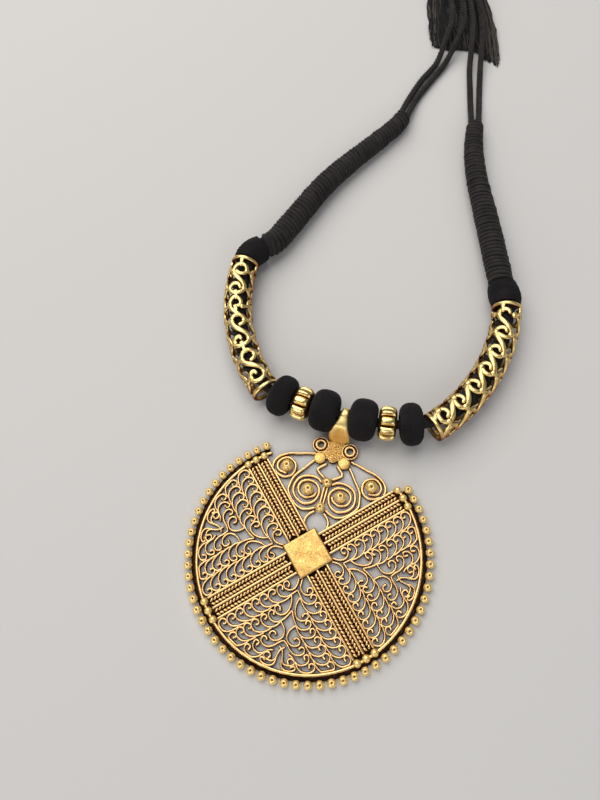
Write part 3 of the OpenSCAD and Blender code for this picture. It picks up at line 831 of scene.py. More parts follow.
# Curls that start from the quadrant's middle line, in the left half of the lower quadrant: x, y
FIRST_CURLS = [
    [[-0.45, -7.0], [-0.5, -8.8], [-1.1, -10], [-2.2, -10.6], [-3.4, -10.4], [-4.04, -9.5], [-3.8, -8.8],
     [-3.1, -8.56], [-2.5, -9.1], [-2.6, -9.75]],
    [[-0.1, -10.1], [-1, -11.2], [-2.2, -12.3], [-3.8, -12.7], [-5, -12], [-5.44, -10.8], [-4.9, -10],
     [-4.1, -10.24], [-3.95, -10.95]],
    [[-1.2, -11.6], [-2.2, -13.1], [-3.8, -14.36], [-5.6, -14.6], [-6.9, -13.9], [-7.3, -12.7],
     [-6.8, -11.8], [-5.9, -11.7], [-5.56, -12.4], [-6, -12.84]],
    [[-1.2, -11.7], [-0.76, -13], [-0.7, -14.4], [-1, -15.8], [-1.8, -16.9], [-3, -17.24], [-4.1, -16.8],
     [-4.56, -15.9], [-4.2, -15.16], [-3.4, -15.3], [-3.05, -16.1]],
    [[-0.1, -15.5], [-0.84, -17], [-1.8, -18.3], [-3, -19.2], [-4.3, -19.24], [-5.4, -18.6],
     [-5.76, -17.5], [-5.3, -16.76], [-4.5, -16.84], [-4.4, -17.6]],
    [[-2, -18.6], [-2.8, -19.9], [-3.8, -20.7], [-5.1, -21], [-6.5, -20.6], [-7.3, -19.7], [-7.3, -18.8],
     [-6.6, -18.24], [-5.96, -18.7], [-6.2, -19.4]],
    [[-2, -18.8], [-1, -19.9], [-0.5, -21], [-0.56, -22.3], [-1.3, -23.24], [-2.5, -23.74], [-3.7, -23.4],
     [-4.14, -22.6], [-3.8, -21.84], [-3, -21.6], [-2.5, -22.1]],
    [[-0.1, -23.1], [-1.2, -23.9], [-2.2, -24.9], [-3.6, -25.6], [-5, -25.4], [-5.8, -24.6],
     [-5.64, -23.6], [-4.9, -23.36], [-4.4, -23.95]],
    [[-2.1, -26], [-3.2, -26.4], [-4.2, -27.2], [-5.5, -27.7], [-6.9, -27.2], [-7.5, -26.2],
     [-7.3, -25.1], [-6.7, -24.8], [-6.1, -25.3], [-6.5, -26]],
    [[-4.3, -27.4], [-5.4, -28.6], [-7, -29.1], [-8.5, -28.7], [-9.4, -27.8], [-9.3, -26.8],
     [-8.6, -26.45], [-7.95, -26.9], [-8.15, -27.6]],
    [[0.64, -24.7], [-0.16, -25.36], [-0.56, -26.2], [-0.76, -27.2], [-1, -28], [-1.7, -28.6],
     [-2.8, -28.56], [-3.8, -28.2], [-4.1, -27.5], [-3.6, -26.94], [-2.8, -26.9], [-2.3, -27.5],
     [-2.65, -28.1]],
    [[-0.7, -27.4], [-0.95, -29], [-1.8, -29.75], [-3.1, -29.85], [-4.25, -29.45], [-4.7, -28.8],
     [-4.2, -28.36], [-3.5, -28.8]]]
# A wire's round tip: how far out in half widths, and the share of the width there
TIP = ((0.35, 0.94), (0.68, 0.73), (0.88, 0.47), (1.0, 0.05))


def rounded(p, width):
    """The same wire with its two ends drawn to a round tip: columns x, y and a share of the width."""
    for _ in range(2):
        p = p[::-1]
        away = p[-1, :2] - p[-2, :2]
        away /= np.linalg.norm(away)
        p = np.vstack([p, [[*(p[-1, :2] + away * width * 0.5 * k * p[-1, 2]), p[-1, 2] * w]
                           for k, w in TIP]])
    return p


def bent_wires(tables, z, width, height, material, sides=12, steps=0, closed=False, square=WIRE_SQUARE):
    """Wires at height z through short tables of x, y and a share of the width, which may be left out."""
    lines, thick = [], []
    for table in tables:
        p = np.asarray(table, float)
        if p.shape[1] == 2:
            p = np.column_stack([p, np.ones(len(p))])
        if steps:
            p = smooth(p, steps)
        if not closed:
            p = rounded(p, width)
        lines.append(row(np.column_stack([p[:, :2], np.full(len(p), z)])))
        thick.append(p[:, 2])
    mesh = line_mesh(lines, {"thick": np.concatenate(thick)}, closed=closed)
    return grow(WIRES, mesh, Width=width * MM, Height=height * MM, Sides=sides, Square=square,
                Material=material)


def fill(loops, height, material, bevel=0.0):
    """Flat body on the surface from closed outlines: the outer one, and those of its holes."""
    curve = bpy.data.curves.new("outline", "CURVE")
    curve.dimensions = "2D"
    curve.fill_mode = "BOTH"
    curve.extrude = (height / 2 - bevel) * MM
    curve.bevel_depth = bevel * MM
    curve.bevel_resolution = 1
    curve.offset = -bevel * MM
    for loop in loops:
        spline = curve.splines.new("POLY")
        spline.points.add(len(loop) - 1)
        for point, (x, y) in zip(spline.points, loop):
            point.co = ((x + HOME[0]) * MM, (y + HOME[1]) * MM, 0, 1)
        spline.use_cyclic_u = True
    o = add_object("outline", curve)
    mesh = bpy.data.meshes.new_from_object(o.evaluated_get(bpy.context.evaluated_depsgraph_get()))
    bpy.data.objects.remove(o)
    mesh.transform(Matrix.Translation((0, 0, height / 2 * MM)))
    mesh.materials.clear()
    mesh.materials.append(material)
    return tidy(mesh, 1e-6)


def cast_balls(spots, sizes, dimple, segments, rings):
    """Balls of given diameters at places over the pendant."""
    places = mesh_from("spots", row(spots), attributes={"size": np.asarray(sizes) * MM})
    return grow(BALLS, places, Dimple=dimple, Segments=segments, Rings=rings, Material=GOLD_BALLS)


def make_scrolls():
    """Openwork of curled wires: gilded above, dark and a little wider below, the dark partly patina and
    partly painted shade.
    """
    curl = rounded(smooth(CURL, 3), CURL_WIDTH)
    tree = scroll_tree()
    lines = []
    for q in QUADRANTS:
        turn = np.array([direction(q - 270), direction(q - 180)])
        for side in (1, -1):
            for table in FIRST_CURLS:
                p = np.asarray(table, float) * [side, 1]
                width = np.ones(len(p))
                width[0], width[-1] = 0.85, 1.3
                lines.append(np.column_stack([p @ turn, width]))
    parts = []
    for rise, width, height, sides, material in CURL_LAYERS:
        for away, first, step, count in CURL_ROWS:
            parts.append(grow(
                tree, flat_lines([curl]), place=AT_HOME, Count=count, First=first * MM, Step=step * MM,
                Away=away * MM, Rise=rise * MM, Width=width * MM, Height=height * MM, Sides=sides,
                Wander=0.7 * MM, Rim=CURL_RIM_R * MM, Material=material))
        parts.append(bent_wires(lines, rise, width, height, material, sides=sides, steps=4))
    return piece("pendant_scrolls", parts, "pendant")


# Wires of rim and arms: height of the middle, width and height
RIM_WIRE = (0.75, 0.95, 1.4)
ARM_WIRE = (1.05, 0.76, 0.98)
RIM_BALLS = 54
FIRST_BALL = 127.0  # degrees
BALL_STEP = 5.288  # degrees
BALL_Z = 1.24
BALL_D = 2.38
FLANGE_R = 32.1
FLANGE_H = 0.7
# Half of an arm's dark ground, from the pendant's middle outwards: along the arm, across it
ARM_GROUND = ((4.7, 3.1), (29.2, 3.1), (30.1, 0))
ARM_GROUND_H = 1.05
# Rows of leaves: place across the arm, and how far the leaves lean
LEAF_ROWS = ((-2.07, 30), (-0.93, -30), (0.93, 30), (2.07, -30))
FIRST_LEAF = (6.3, 1.2)  # place along the arm, and height
ARM_BALLS_R = 30.4
ARM_BALL_STEP = 4.9  # degrees
ARM_BALL_D = 2.15


def make_rim():
    """Flange, its raised wire and the row of balls."""
    angles = FIRST_BALL + BALL_STEP * np.arange(RIM_BALLS)
    around = np.arange(FIRST_BALL - 1, FIRST_BALL + BALL_STEP * (RIM_BALLS - 1) + 1.5, 2.0)
    flange = [(PLATE_R - 0.5) * direction(a) for a in around]
    flange += [FLANGE_R * direction(a) for a in around[::-1]]
    wire = [(PLATE_R - 0.05) * direction(a) for a in around]
    balls = cast_balls([[*(RIM_R * direction(a)), BALL_Z] for a in angles],
                       BALL_D + 0.06 * np.sin(angles * 7.3), dimple=0.3, segments=20, rings=18)
    # The flange is dark between the balls: partly patina, partly painted shade
    return piece("pendant_rim", [fill([flange], FLANGE_H, PATINA_AND_SHADE),
                                 bent_wires([wire], *RIM_WIRE, GOLD_WIRE, sides=14), balls],
                 "pendant")


def make_arms():
    """Wires, braids and end balls of the four arms, on their dark ground, which is partly patina and partly
    painted shade between the leaves.
    """
    parts, spots = [], []
    for arm in ARMS:
        a, b = direction(arm), direction(arm + 90)
        corners = [(u, -v) for u, v in ARM_GROUND] + list(ARM_GROUND[1::-1])
        parts.append(fill([[a * u + b * v for u, v in corners]], ARM_GROUND_H, PATINA_AND_SHADE))
        lines = [[a * u + b * v for u in (5.2, 12, 20, 28.9)] for v in (-ARM_W / 2, 0, ARM_W / 2)]
        parts.append(bent_wires(lines, *ARM_WIRE, GOLD_WIRE, steps=3, square=0.8))
        spots += [[*(ARM_BALLS_R * direction(arm + k * ARM_BALL_STEP)), 1.2] for k in (-1, 0, 1)]
    across, tilt = np.transpose(LEAF_ROWS)
    starts = [[FIRST_LEAF[0], v, FIRST_LEAF[1]] for v in across]
    base = mesh_from("rows", np.asarray(starts) * MM, attributes={"tilt": np.radians(tilt)})
    parts.append(grow(braid_tree(), base, place=AT_HOME, Count=22, Pitch=1.05 * MM, Length=1.38 * MM,
                      Breadth=0.72 * MM, Height=0.66 * MM, Material=GOLD_GRAINS))
    parts.append(cast_balls(spots, np.full(len(spots), ARM_BALL_D), dimple=0.0, segments=20, rings=14))
    return piece("pendant_arms", parts, "pendant")


SQUARE_W = 10.2
SQUARE_TOP = 2.0
SQUARE_SOFT = 0.35  # radius of its edges
PITS = 26
PIT_DEPTH = 0.05


def make_square():
    """Square plate in the middle: soft edges and a slightly uneven, pitted face."""
    n, half, soft = 40, SQUARE_W / 2, SQUARE_SOFT
    grid = np.linspace(-half, half, n)
    x, y = np.meshgrid(grid, grid, indexing="ij")
    inset = np.maximum(np.abs(x), np.abs(y))
    edge_drop = np.sqrt(np.maximum(soft ** 2 - (inset - half + soft) ** 2, 0))
    z = np.where(inset > half - soft, SQUARE_TOP - soft + edge_drop, SQUARE_TOP)
    z = z + PIT_DEPTH * np.sin(x * 0.9 + 0.7) * np.cos(y * 1.1) * (inset < half - soft)
    rng = np.random.default_rng(4)
    for px, py in rng.uniform(-4.2, 4.2, (PITS, 2)):
        size = rng.uniform(0.12, 0.3)
        z = z - PIT_DEPTH * np.exp(-((x - px) ** 2 + (y - py) ** 2) / size ** 2)
    verts = np.column_stack([x.ravel(), y.ravel(), z.ravel()])
    number = np.arange(n * n).reshape(n, n)
    faces = np.stack([number[:-1, :-1], number[1:, :-1], number[1:, 1:], number[:-1, 1:]], -1)
    faces = faces.reshape(-1, 4).tolist()
    edge = np.concatenate([number[:-1, 0], number[-1, :-1], number[:0:-1, -1], number[0, :0:-1]])
    m = len(edge)
    foot = n * n + np.arange(m)
    faces += [[edge[k], edge[(k + 1) % m], foot[(k + 1) % m], foot[k]] for k in range(m)]
    verts = np.vstack([verts, verts[edge] * [1, 1, 0]])
    mesh = solid(verts * MM, [*faces, foot], GOLD_PLATE, lying(0, 0, 0, 45))
    return piece("pendant_square", [mesh], "pendant")


# Wires of the open quarter, right half: x, y
BIG_SPIRAL = [[2.4, 16.6], [2.8, 15.7], [4.7, 14.8], [6.7, 15.4], [7.6, 17.2], [6.9, 19], [4.9, 19.8],
              [2.8, 19.3], [1.6, 17.7], [1.6, 15.7], [2.7, 13.9], [4.9, 13], [7.3, 13.9], [8.7, 15.7],
              [8.8, 17.7], [8, 19.7], [6.4, 20.8], [4.4, 21.2], [2.7, 20.9], [1.7, 20.2]]
SMALL_SPIRAL = [[12.2, 20.2], [14, 20.4], [14.9, 21.2], [15.1, 22.6], [14.2, 24], [12.7, 24.7],
                [11.1, 24.2], [10, 23], [9.9, 21.2], [10.7, 19.7], [12.4, 18.9], [14, 19.2], [15.2, 19.9]]
UPPER_WIRE = [[5.3, 27.9], [7.6, 27.4], [10, 26.7], [12.2, 26.2], [14, 25.4], [15.4, 24.3], [16.2, 23],
              [16.4, 21.7], [16.2, 21]]
HEART_WIRE = [[1.7, 12.55], [3.1, 11.8], [4.9, 11.4], [6.7, 11.9], [8.2, 13], [9.6, 14.6], [10.2, 15.9],
              [10.1, 17.4], [9.7, 19.4], [8.7, 21.2], [7.3, 23], [6.2, 24.6], [5.2, 25.9]]
PENTAGON_WIRE = [[1.7, 25.6], [3.4, 23.9], [3.3, 23], [1.3, 21.6]]
RING_WIRE = [[1.5, 11.5], [2.5, 10.6], [3.15, 9.5], [3.3, 8.4], [3, 7.3], [2.3, 6.4]]
UPRIGHT = [[0.45, 13.2], [0.45, 16.4], [0.45, 19.6]]
# Each of them with its share of the width
QUARTER_WIRES = ((BIG_SPIRAL, 1), (SMALL_SPIRAL, 1), (UPPER_WIRE, 0.95), (HEART_WIRE, 1),
                 (PENTAGON_WIRE, 1.06), (RING_WIRE, 1), (UPRIGHT, 0.8))
# Layers of these wires, gilded above and dark below, the dark partly patina and partly painted shade: height
# of the middle, width, height, finish
QUARTER_LAYERS = ((0.72, 0.8, 1.1, GOLD_BOLD), (0.3, 0.94, 0.6, PATINA_AND_SHADE))
# Balls of the open quarter: on the middle line, then of both halves. x, y, z and diameter
MIDDLE_BALLS = [[0, 12.9, 1.5, 2.8], [0, 20.3, 1.5, 2.8]]
SPIRAL_BALLS = [[4.7, 17.1, 1.65, 3.3], [12.3, 22.2, 1.7, 3.4]]


def make_spirals():
    """Open quarter: ring, spirals, heart wires and dimpled balls."""
    lines = [[[x * side, y, width] for x, y in table] for table, width in QUARTER_WIRES for side in (1, -1)]
    balls = MIDDLE_BALLS + [[x * side, y, z, size] for x, y, z, size in SPIRAL_BALLS for side in (1, -1)]
    balls = np.array(balls)
    upper, lower = QUARTER_LAYERS
    parts = [bent_wires(lines, *upper, steps=6), bent_wires(lines, *lower, sides=8, steps=4),
             cast_balls(balls[:, :3], balls[:, 3], dimple=0.25, segments=32, rings=30)]
    return piece("pendant_spirals", parts, "pendant")


# Right half of the top plate's outline, from its foot up: x, y
TOP_OUTLINE = [[3.4, 27.0], [3.5, 28.7], [2.6, 29.4], [2.2, 30.6], [2.5, 31.9], [2.9, 32.6]]
TOP_SHIFT = -0.3  # the plate sits a little to the left
TOP_H = 1.5
TOP_BOSS = (27.5, 1.4, 1.58)  # y, radius and height of the round middle of its foot
EYELET_AT = (4.3, 30.7)
EYELET_R = (2.3, 0.95)  # of its edge and its hole
EYELET_H = 0.8
# The two ring wires of an eyelet: radius, height of the middle, width, height and sides
EYELET_WIRES = ((1.28, 1.35, 0.8, 1.2, 14), (2.2, 0.95, 0.54, 1.2, 12))
LOBE_AT = (3.55, 26.85)
LOBE_R = 1.78
LOBE_H = 1.6


def circle(x, y, r):
    return [np.array([x, y]) + r * direction(a) for a in range(0, 360, 15)]


def make_top():
    """Lobed top plate with its two eyelets, each between two rings of wire."""
    left = [[-x, y] for x, y in TOP_OUTLINE[::-1]]
    outline = [[x + TOP_SHIFT, y] for x, y in smooth([left[-1], *TOP_OUTLINE, *left], 4)[:-1]]
    boss_y, boss_r, boss_h = TOP_BOSS
    parts = [fill([outline], TOP_H, GOLD_SATIN, bevel=0.15),
             fill([circle(TOP_SHIFT, boss_y, boss_r)], boss_h, GOLD_SATIN, bevel=0.2)]
    for side in (1, -1):
        x, y = EYELET_AT[0] * side + TOP_SHIFT, EYELET_AT[1]
        # Dark inside each eyelet's wire rings: partly patina, partly painted shade
        parts.append(fill([circle(x, y, r) for r in EYELET_R], EYELET_H, PATINA_AND_SHADE, bevel=0.05))
        for r, z, width, height, sides in EYELET_WIRES:
            parts.append(bent_wires([circle(x, y, r)], z, width, height, GOLD_BOLD, closed=True, sides=sides))
        lobe = circle(LOBE_AT[0] * side + TOP_SHIFT, LOBE_AT[1], LOBE_R)
        parts.append(fill([lobe], LOBE_H, GOLD_PLATE, bevel=0.3))
    return piece("pendant_top", parts, "pendant")


# The bail's strap, seen from the side: its way up from the plate and back down to it. y, z
BAIL_FRONT = [[32.5, 1.3], [33.2, 2.9], [34.3, 5.0], [35.8, 7.0]]
BAIL_BACK = [[38.4, 3.0], [36.0, 1.95], [33.8, 1.1], [32.4, 0.75]]
BAIL_MIDDLE = np.array([39.4, STRING_Z])
BAIL_R = 1.9
BAIL_THICK = 0.7
# Half of the strap's width by its place along y
BAIL_HALF = [[32.5, 1.9], [32.75, 2.6], [33.2, 3.05], [33.8, 3.0], [34.6, 2.55], [35.4, 2.15], [36.2, 1.8],
             [37.2, 1.5], [38.4, 1.25], [39.6, 1.0]]

# Dish in the crown of its foot: place along y, reach along y and across, and depth
DISH_Y, DISH_LONG, DISH_WIDE, DISH_DEPTH = 33.6, 1.7, 1.1, 0.42
BAIL_LEAN = 0.4  # how far its top lies to the right


def make_bail():
    """Strap from the top plate over the string and back, wide and crowned at its foot."""
    loop = [BAIL_MIDDLE + BAIL_R * direction(a) for a in range(124, -69, -8)]
    path = even(smooth([*BAIL_FRONT, *loop, *BAIL_BACK], 4), 0.22)
    tangent = np.gradient(path, axis=0)
    tangent /= np.linalg.norm(tangent, axis=1)[:, None]
    half = np.interp(path[:, 0], *np.transpose(BAIL_HALF))
    dish = DISH_DEPTH * np.exp(-((path[:, 0] - DISH_Y) / DISH_LONG) ** 2) * (path[:, 1] > 1.2)
    aside = np.interp(path[:, 0], [34, 40], [0.0, BAIL_LEAN])
    a = np.linspace(0, 2 * np.pi, 28, endpoint=False)
    rings = []
    for (y, z), (ty, tz), w, sunk, shift in zip(path, tangent, half, dish, aside):
        u = w * np.sign(np.cos(a)) * np.abs(np.cos(a)) ** 0.6
        v = BAIL_THICK / 2 * np.sign(np.sin(a)) * np.abs(np.sin(a)) ** 0.75
        v = v * (0.6 + 0.4 * (1 - (u / w) ** 2)) - sunk * np.exp(-(u / DISH_WIDE) ** 2) * (v > 0)
        rings.append(np.column_stack([u + shift, y - tz * v, z + ty * v]))
    verts, faces = skin(np.array(rings))
    return piece("pendant_bail", [solid(row(verts), faces, GOLD_BAIL)], "pendant")


# Beads

BEAD_D = 12.4
BORE = 3.6
BEAD_THREAD_D = 0.46
# Fullness of the barrels' outlines, where 2 is an ellipse and more is squarer
BARREL = 2.6
FLUTED_BARREL = 3.2
# x, y, turn in degrees and length
THREAD_BEADS = [[-18.7, 40.8, -16, 6.6], [-5.65, 39.4, -2, 8.1], [5.6, 39.4, 3, 8.1], [19, 41.5, 17, 6.6]]
# x, y and turn in degrees
FLUTED_BEADS = {"fluted_bead_left": [-12.5, 39.8, -7], "fluted_bead_right": [12.5, 40, 8]}
FLUTED_D = 10.0
FLUTED_LENGTH = 5.2
LOBES = 9
LOBE_SIDES = 28
GROOVE = 0.34  # depth between two lobes, as a share of the radius


def wound_profile(d, l, bore, power, n=46):
    """Rows of place along the axis and radius, even along the outline."""
    a = np.radians(np.linspace(-82, 82, 200))
    c, s = np.cos(a), np.sin(a)
    p = np.column_stack([l / 2 * np.sign(s) * np.abs(s) ** (2 / power),
                         bore / 2 + (d - bore) / 2 * c ** (2 / power)])
    return even(p, length_of(p) / n)


def wound_turns(profile, thread, pitch, place, **how):
    """Thread wound over rows of place along an axis and radius."""
    n = len(profile)
    points = np.column_stack([profile[:, 0], np.zeros((n, 2))]) * MM
    base = line_mesh([points], {"side": np.tile([0.0, 1, 0], (n, 1)), "up": np.tile([0.0, 0, 1], (n, 1)),
                                "reach": profile[:, 1] * MM, "turn": distances(profile) / pitch})
    return grow(WINDING, base, place=place, Starts=1, Thread=thread * MM, Material=WOUND_THREAD, **how)


def wound_piece(node, wound, core, seed, density):
    """Wound thread, its core and loose fibres, as one piece."""
    parts = [wound, core]
    add_fibres(parts, core, seed, WOUND_THREAD, density)
    piece(f"{node}_wound", parts, node)


def make_thread_bead(number, place):
    """Black thread wound in many turns over a barrel."""
    x, y, turn, length = place
    thread = BEAD_THREAD_D
    at = lying(x, y, STRING_Z, turn)
    profile = wound_profile(BEAD_D - thread, length - thread, BORE + thread, BARREL)
    wound = wound_turns(profile, thread, thread * 0.9, at, Steps=26, Wander=0.1 * MM, Sides=5,
                        Seed=float(number * 5))
    inner = (profile - [0, 0.12]).tolist()
    shape = [[inner[0][0], BORE / 2], *inner, [inner[-1][0], BORE / 2]]
    core = lathe(shape, 40, at, WOUND_THREAD, closed=True)
    wound_piece(f"thread_bead_{number}", wound, core, number, density=6.0e5)


def make_fluted_bead(name, place):
    """Lobes side by side round a barrel, with a fine line beside each groove."""
    x, y, turn = place
    bore, out = BORE / 2, FLUTED_D / 2
    a = np.arange(LOBES * LOBE_SIDES) / (LOBES * LOBE_SIDES) * 2 * np.pi
    across = np.abs((a * LOBES / (2 * np.pi)) % 1.0 - 0.5) * 2
    lobe = 1 - GROOVE * across ** 4 - 0.018 * np.exp(-((across - 0.6) / 0.06) ** 2)
    profile = wound_profile(FLUTED_D, FLUTED_LENGTH, BORE, FLUTED_BARREL, 26)
    rings = [ring(profile[0, 0], bore, a)]
    for px, pr in profile:
        share = min(1.0, max(0.0, (pr - bore) / (out - bore)) * 1.6)
        rings.append(ring(px, bore + (pr - bore) * (1 - (1 - lobe) * out / (out - bore) * share), a))
    rings.append(ring(profile[-1, 0], bore, a))
    verts, faces = skin(np.array(rings) * MM, closed=True)
    mesh = solid(verts, faces, GOLD_POLISHED, lying(x, y, STRING_Z, turn))
    piece(f"{name}_cast", [mesh], name)


# Tubes

TUBE_R = 4.4
BEND_R = 53.0
TUBE_CHORD = 45.6
TUBE_WIRE = 1.32
TUBE_WIRE_H = 0.85
# x, y, turn of the chord in degrees, and the side to which it bends
TUBES = {"tube_left": [-23.8, 41.2, 115.6, -1], "tube_right": [24.8, 42.1, 72.2, 1]}
# Scrolls of the tubes: along, round and share of the width
TUBE_S = [
    [[-2.9, -0.2, 0.85], [-2.1, -0.6, 0.95], [-2.45, -2.0, 1], [-3.7, -2.6, 1], [-4.85, -2.0, 1],
     [-5.3, -0.2, 1], [-4.8, 1.6, 1], [-3.35, 2.6, 1.05], [-1.6, 2.0, 1.15], [-0.15, 0.5, 1.2],
     [1.3, -1.3, 1.2], [2.9, -2.1, 1.1], [4.6, -1.4, 1], [5.3, 0.3, 1], [4.85, 1.9, 1], [3.6, 2.5, 1],
     [2.3, 1.9, 0.95], [1.75, 0.7, 0.85]],
    [[5.2, 0.1, 1.2], [6.0, -0.1, 0.9], [7.3, -0.1, 0.9], [8.1, -0.2, 1.2]],
    [[-3.7, -2.5, 1.5], [-3.6, -3.4, 0.9], [-3.5, -4.4, 1.5]],
    [[2.9, -2.1, 1.5], [3.1, -3.1, 0.9], [3.4, -4.4, 1.4]]]
TUBE_S_CLOSED = [
    [[-3.3, 1.2, 0.85], [-2.2, 0.5, 0.95], [-2.2, -1.2, 1], [-3.3, -2.3, 1], [-4.85, -2.0, 1],
     [-5.3, -0.2, 1], [-4.8, 1.6, 1], [-3.35, 2.6, 1.05], [-1.6, 2.0, 1.1], [-0.15, 0.5, 1.15],
     [1.3, -1.3, 1.15], [2.9, -2.1, 1.1], [4.6, -1.4, 1], [5.3, 0.3, 1], [4.85, 1.9, 1],
     [3.6, 2.5, 1], [2.3, 1.9, 0.95], [1.9, 0.4, 0.9], [2.6, -0.9, 0.85]],
    [[5.2, 0.1, 1.2], [6.1, 0, 0.9], [7.0, -0.1, 1.2]],
    [[-3.7, -2.5, 1.4], [-3.6, -3.4, 0.85], [-3.5, -4.4, 1.4]],
    [[2.9, -2.1, 1.4], [3.1, -3.1, 0.85], [3.4, -4.4, 1.3]]]
TUBE_CURL = [
    [[5.3, 0.2, 0.85], [5.7, 1.4, 0.95], [7.0, 1.8, 1], [8.3, 0.8, 1], [8.5, -0.7, 1], [7.3, -2.1, 1],
     [5.7, -2.3, 1], [4.3, -1.5, 1], [3.3, -0.3, 1], [2.5, 0.9, 0.95]],
    [[8.4, 0.1, 1.2], [9.3, 0, 0.9], [10.2, -0.2, 1.2]],
    [[5.7, -2.2, 1.4], [5.5, -3.3, 0.85], [5.3, -4.7, 1.3]]]
TUBE_WAVE = [
    [[-0.8, -2.0, 0.95], [-1.3, -0.7, 1], [-1.2, 0.9, 1], [-0.1, 1.95, 1.05], [1.3, 1.6, 1.1],
     [2.6, 0.4, 1.2], [3.9, -1.1, 1.2], [5.2, -2.4, 1.15], [6.5, -3.15, 1.1], [7.7, -2.7, 1],
     [8.15, -1.3, 1], [7.95, -0.1, 0.95], [7.2, 0.35, 0.85]],
    [[6.5, -3.1, 1.6], [6.5, -3.9, 0.95], [6.6, -4.9, 1.6]]]
TUBE_WAVE_FOOT = [TUBE_WAVE[0][6:], TUBE_WAVE[1]]
TUBE_WAVE_HEAD = [[[7.9, -1.9, 1.2], [8.7, -2, 0.9], [9.6, -2.1, 1.2]]]
# Scrolls along each tube: tables, first place, step, how many
TUBE_PATTERN = {
    "tube_left": [[TUBE_S, -15.6, 12.6, 2], [TUBE_CURL, 0, 0, 1], [TUBE_S_CLOSED, 15.2, 0, 1]],
    "tube_right": [[TUBE_WAVE, -19.9, 6.5, 6], [TUBE_WAVE_FOOT, -26.4, 0, 1],
                   [TUBE_WAVE_HEAD, 12.6, 0, 1]]}
# Section of the ring at a tube's end: along, radius
TUBE_RING = np.array([[-0.55, 3.5], [-0.55, 4.2], [-0.4, 4.38], [0.4, 4.4], [0.58, 4.2], [0.58, 3.5]])
TUBE_RING_INSET = 0.6


def make_tube(name, place):
    """Bent tube of scrollwork, four rows round, with a plain ring at each end."""
    x, y, chord_turn, bend = place
    half = math.asin(TUBE_CHORD / 2 / BEND_R)
    middle = np.array([x, y]) + direction(chord_turn) * TUBE_CHORD / 2
    centre = middle + direction(chord_turn + 90) * bend * BEND_R * math.cos(half)
    at = lying(*centre, TUBE_Z, chord_turn - 90 * bend)
    parts = []
    for tables, first, step, count in TUBE_PATTERN[name]:
        base = flat_lines([rounded(smooth(table, 4), TUBE_WIRE) for table in tables])
        parts.append(grow(TUBE_SCROLLS, base, place=at, Along=count, Round=4, First=first * MM,
                          Unit=step * MM, Radius=TUBE_R * MM, Bend=BEND_R * MM, Side=float(bend),
                          Width=TUBE_WIRE * MM, Height=TUBE_WIRE_H * MM, Material=GOLD))
    for end in (-1, 1):
        turn = Matrix.Rotation(end * (half - TUBE_RING_INSET / BEND_R), 4, "Z")
        rim = at @ turn @ Matrix.Translation((BEND_R * MM, 0, 0)) @ Matrix.Rotation(math.pi / 2, 4, "Z")
        parts.append(lathe(TUBE_RING * [end, 1], 48, rim, GOLD, closed=True))
    piece(f"{name}_openwork", parts, name)


# String and collars: x, y, z, width

STRING_ROUTE = [[-43.5, 82.3, 5.4, 5.4], [-42, 70.4, 5.4, 5.4], [-38.2, 59.2, 5.4, 5.4],
                [-32, 49.6, 5.6, 5.4], [-24.6, 42.8, 6, 3.2], [-18.7, 40.7, 6.2, 2.8],
                [-12.5, 39.7, 6.2, 2.8], [-5.6, 39.3, 6.2, 2.8], [5.4, 39.3, 6.2, 2.8],
                [12.4, 40, 6.2, 2.8], [19, 41.4, 6.2, 2.8], [22.4, 42.5, 6.2, 2.8], [26, 45, 5.9, 3.6],
                [31.6, 51.8, 5.6, 5.4], [36.3, 62.2, 5.4, 5.4], [38.6, 73.4, 5.4, 5.4],
                [38.5, 85.7, 5.4, 5.4]]
STRING_PLY_D = 1.25
STRING_PITCH = 9.0
BINDING_THREAD_D = 0.6
COLLARS = {
    "collar_left": [[-43.5, 82.9, 5.2, 8.2], [-43.3, 84.9, 5.1, 8.8], [-42, 87, 5, 9.2],
                    [-40, 89.2, 4.9, 8.6]],
    "collar_right": [[38.5, 86.2, 5.2, 8.2], [38, 88.3, 5.1, 9.4], [37, 90.6, 5, 9.4], [36, 93, 4.9, 8.6]]}


def make_string():
    parts = rope(cord_line(STRING_ROUTE, 0.9), STRING_PLY_D, STRING_PITCH, 7)
    piece("stringing_cord_rope", parts, "stringing_cord")


def make_collar(name, route, seed):
    parts = wound_cord(cord_line(route), BINDING_THREAD_D, 2, seed, WOUND_THREAD, wander=0.14, steps=24)
    add_fibres(parts, parts[1], seed, WOUND_THREAD, density=4.0e5)
    piece(f"{name}_wound", parts, name)


# Neck knot and tassel

NECK_AT = [-6.6, 238, 5.8]
NECK_TURN = 17
KNOT_D = 11.2
KNOT_LENGTH = 12.0
KNOT_THREAD_D = 0.9
KNOT_END_DROP = (0.5, 1.2)  # how much the radius falls at the front end, and at the back one
TASSEL_THREADS = 1640
TASSEL_THREAD_D = 0.36
TASSEL_REACH = 57
TASSEL_SPREAD = 23.5
TASSEL_START = 4.6
BINDING = [[0, -0.3, 2.2, 4.0], [0, -2, 2.2, 4.1], [0, -4, 2.2, 4.1], [0, -7, 2.2, 3.9]]


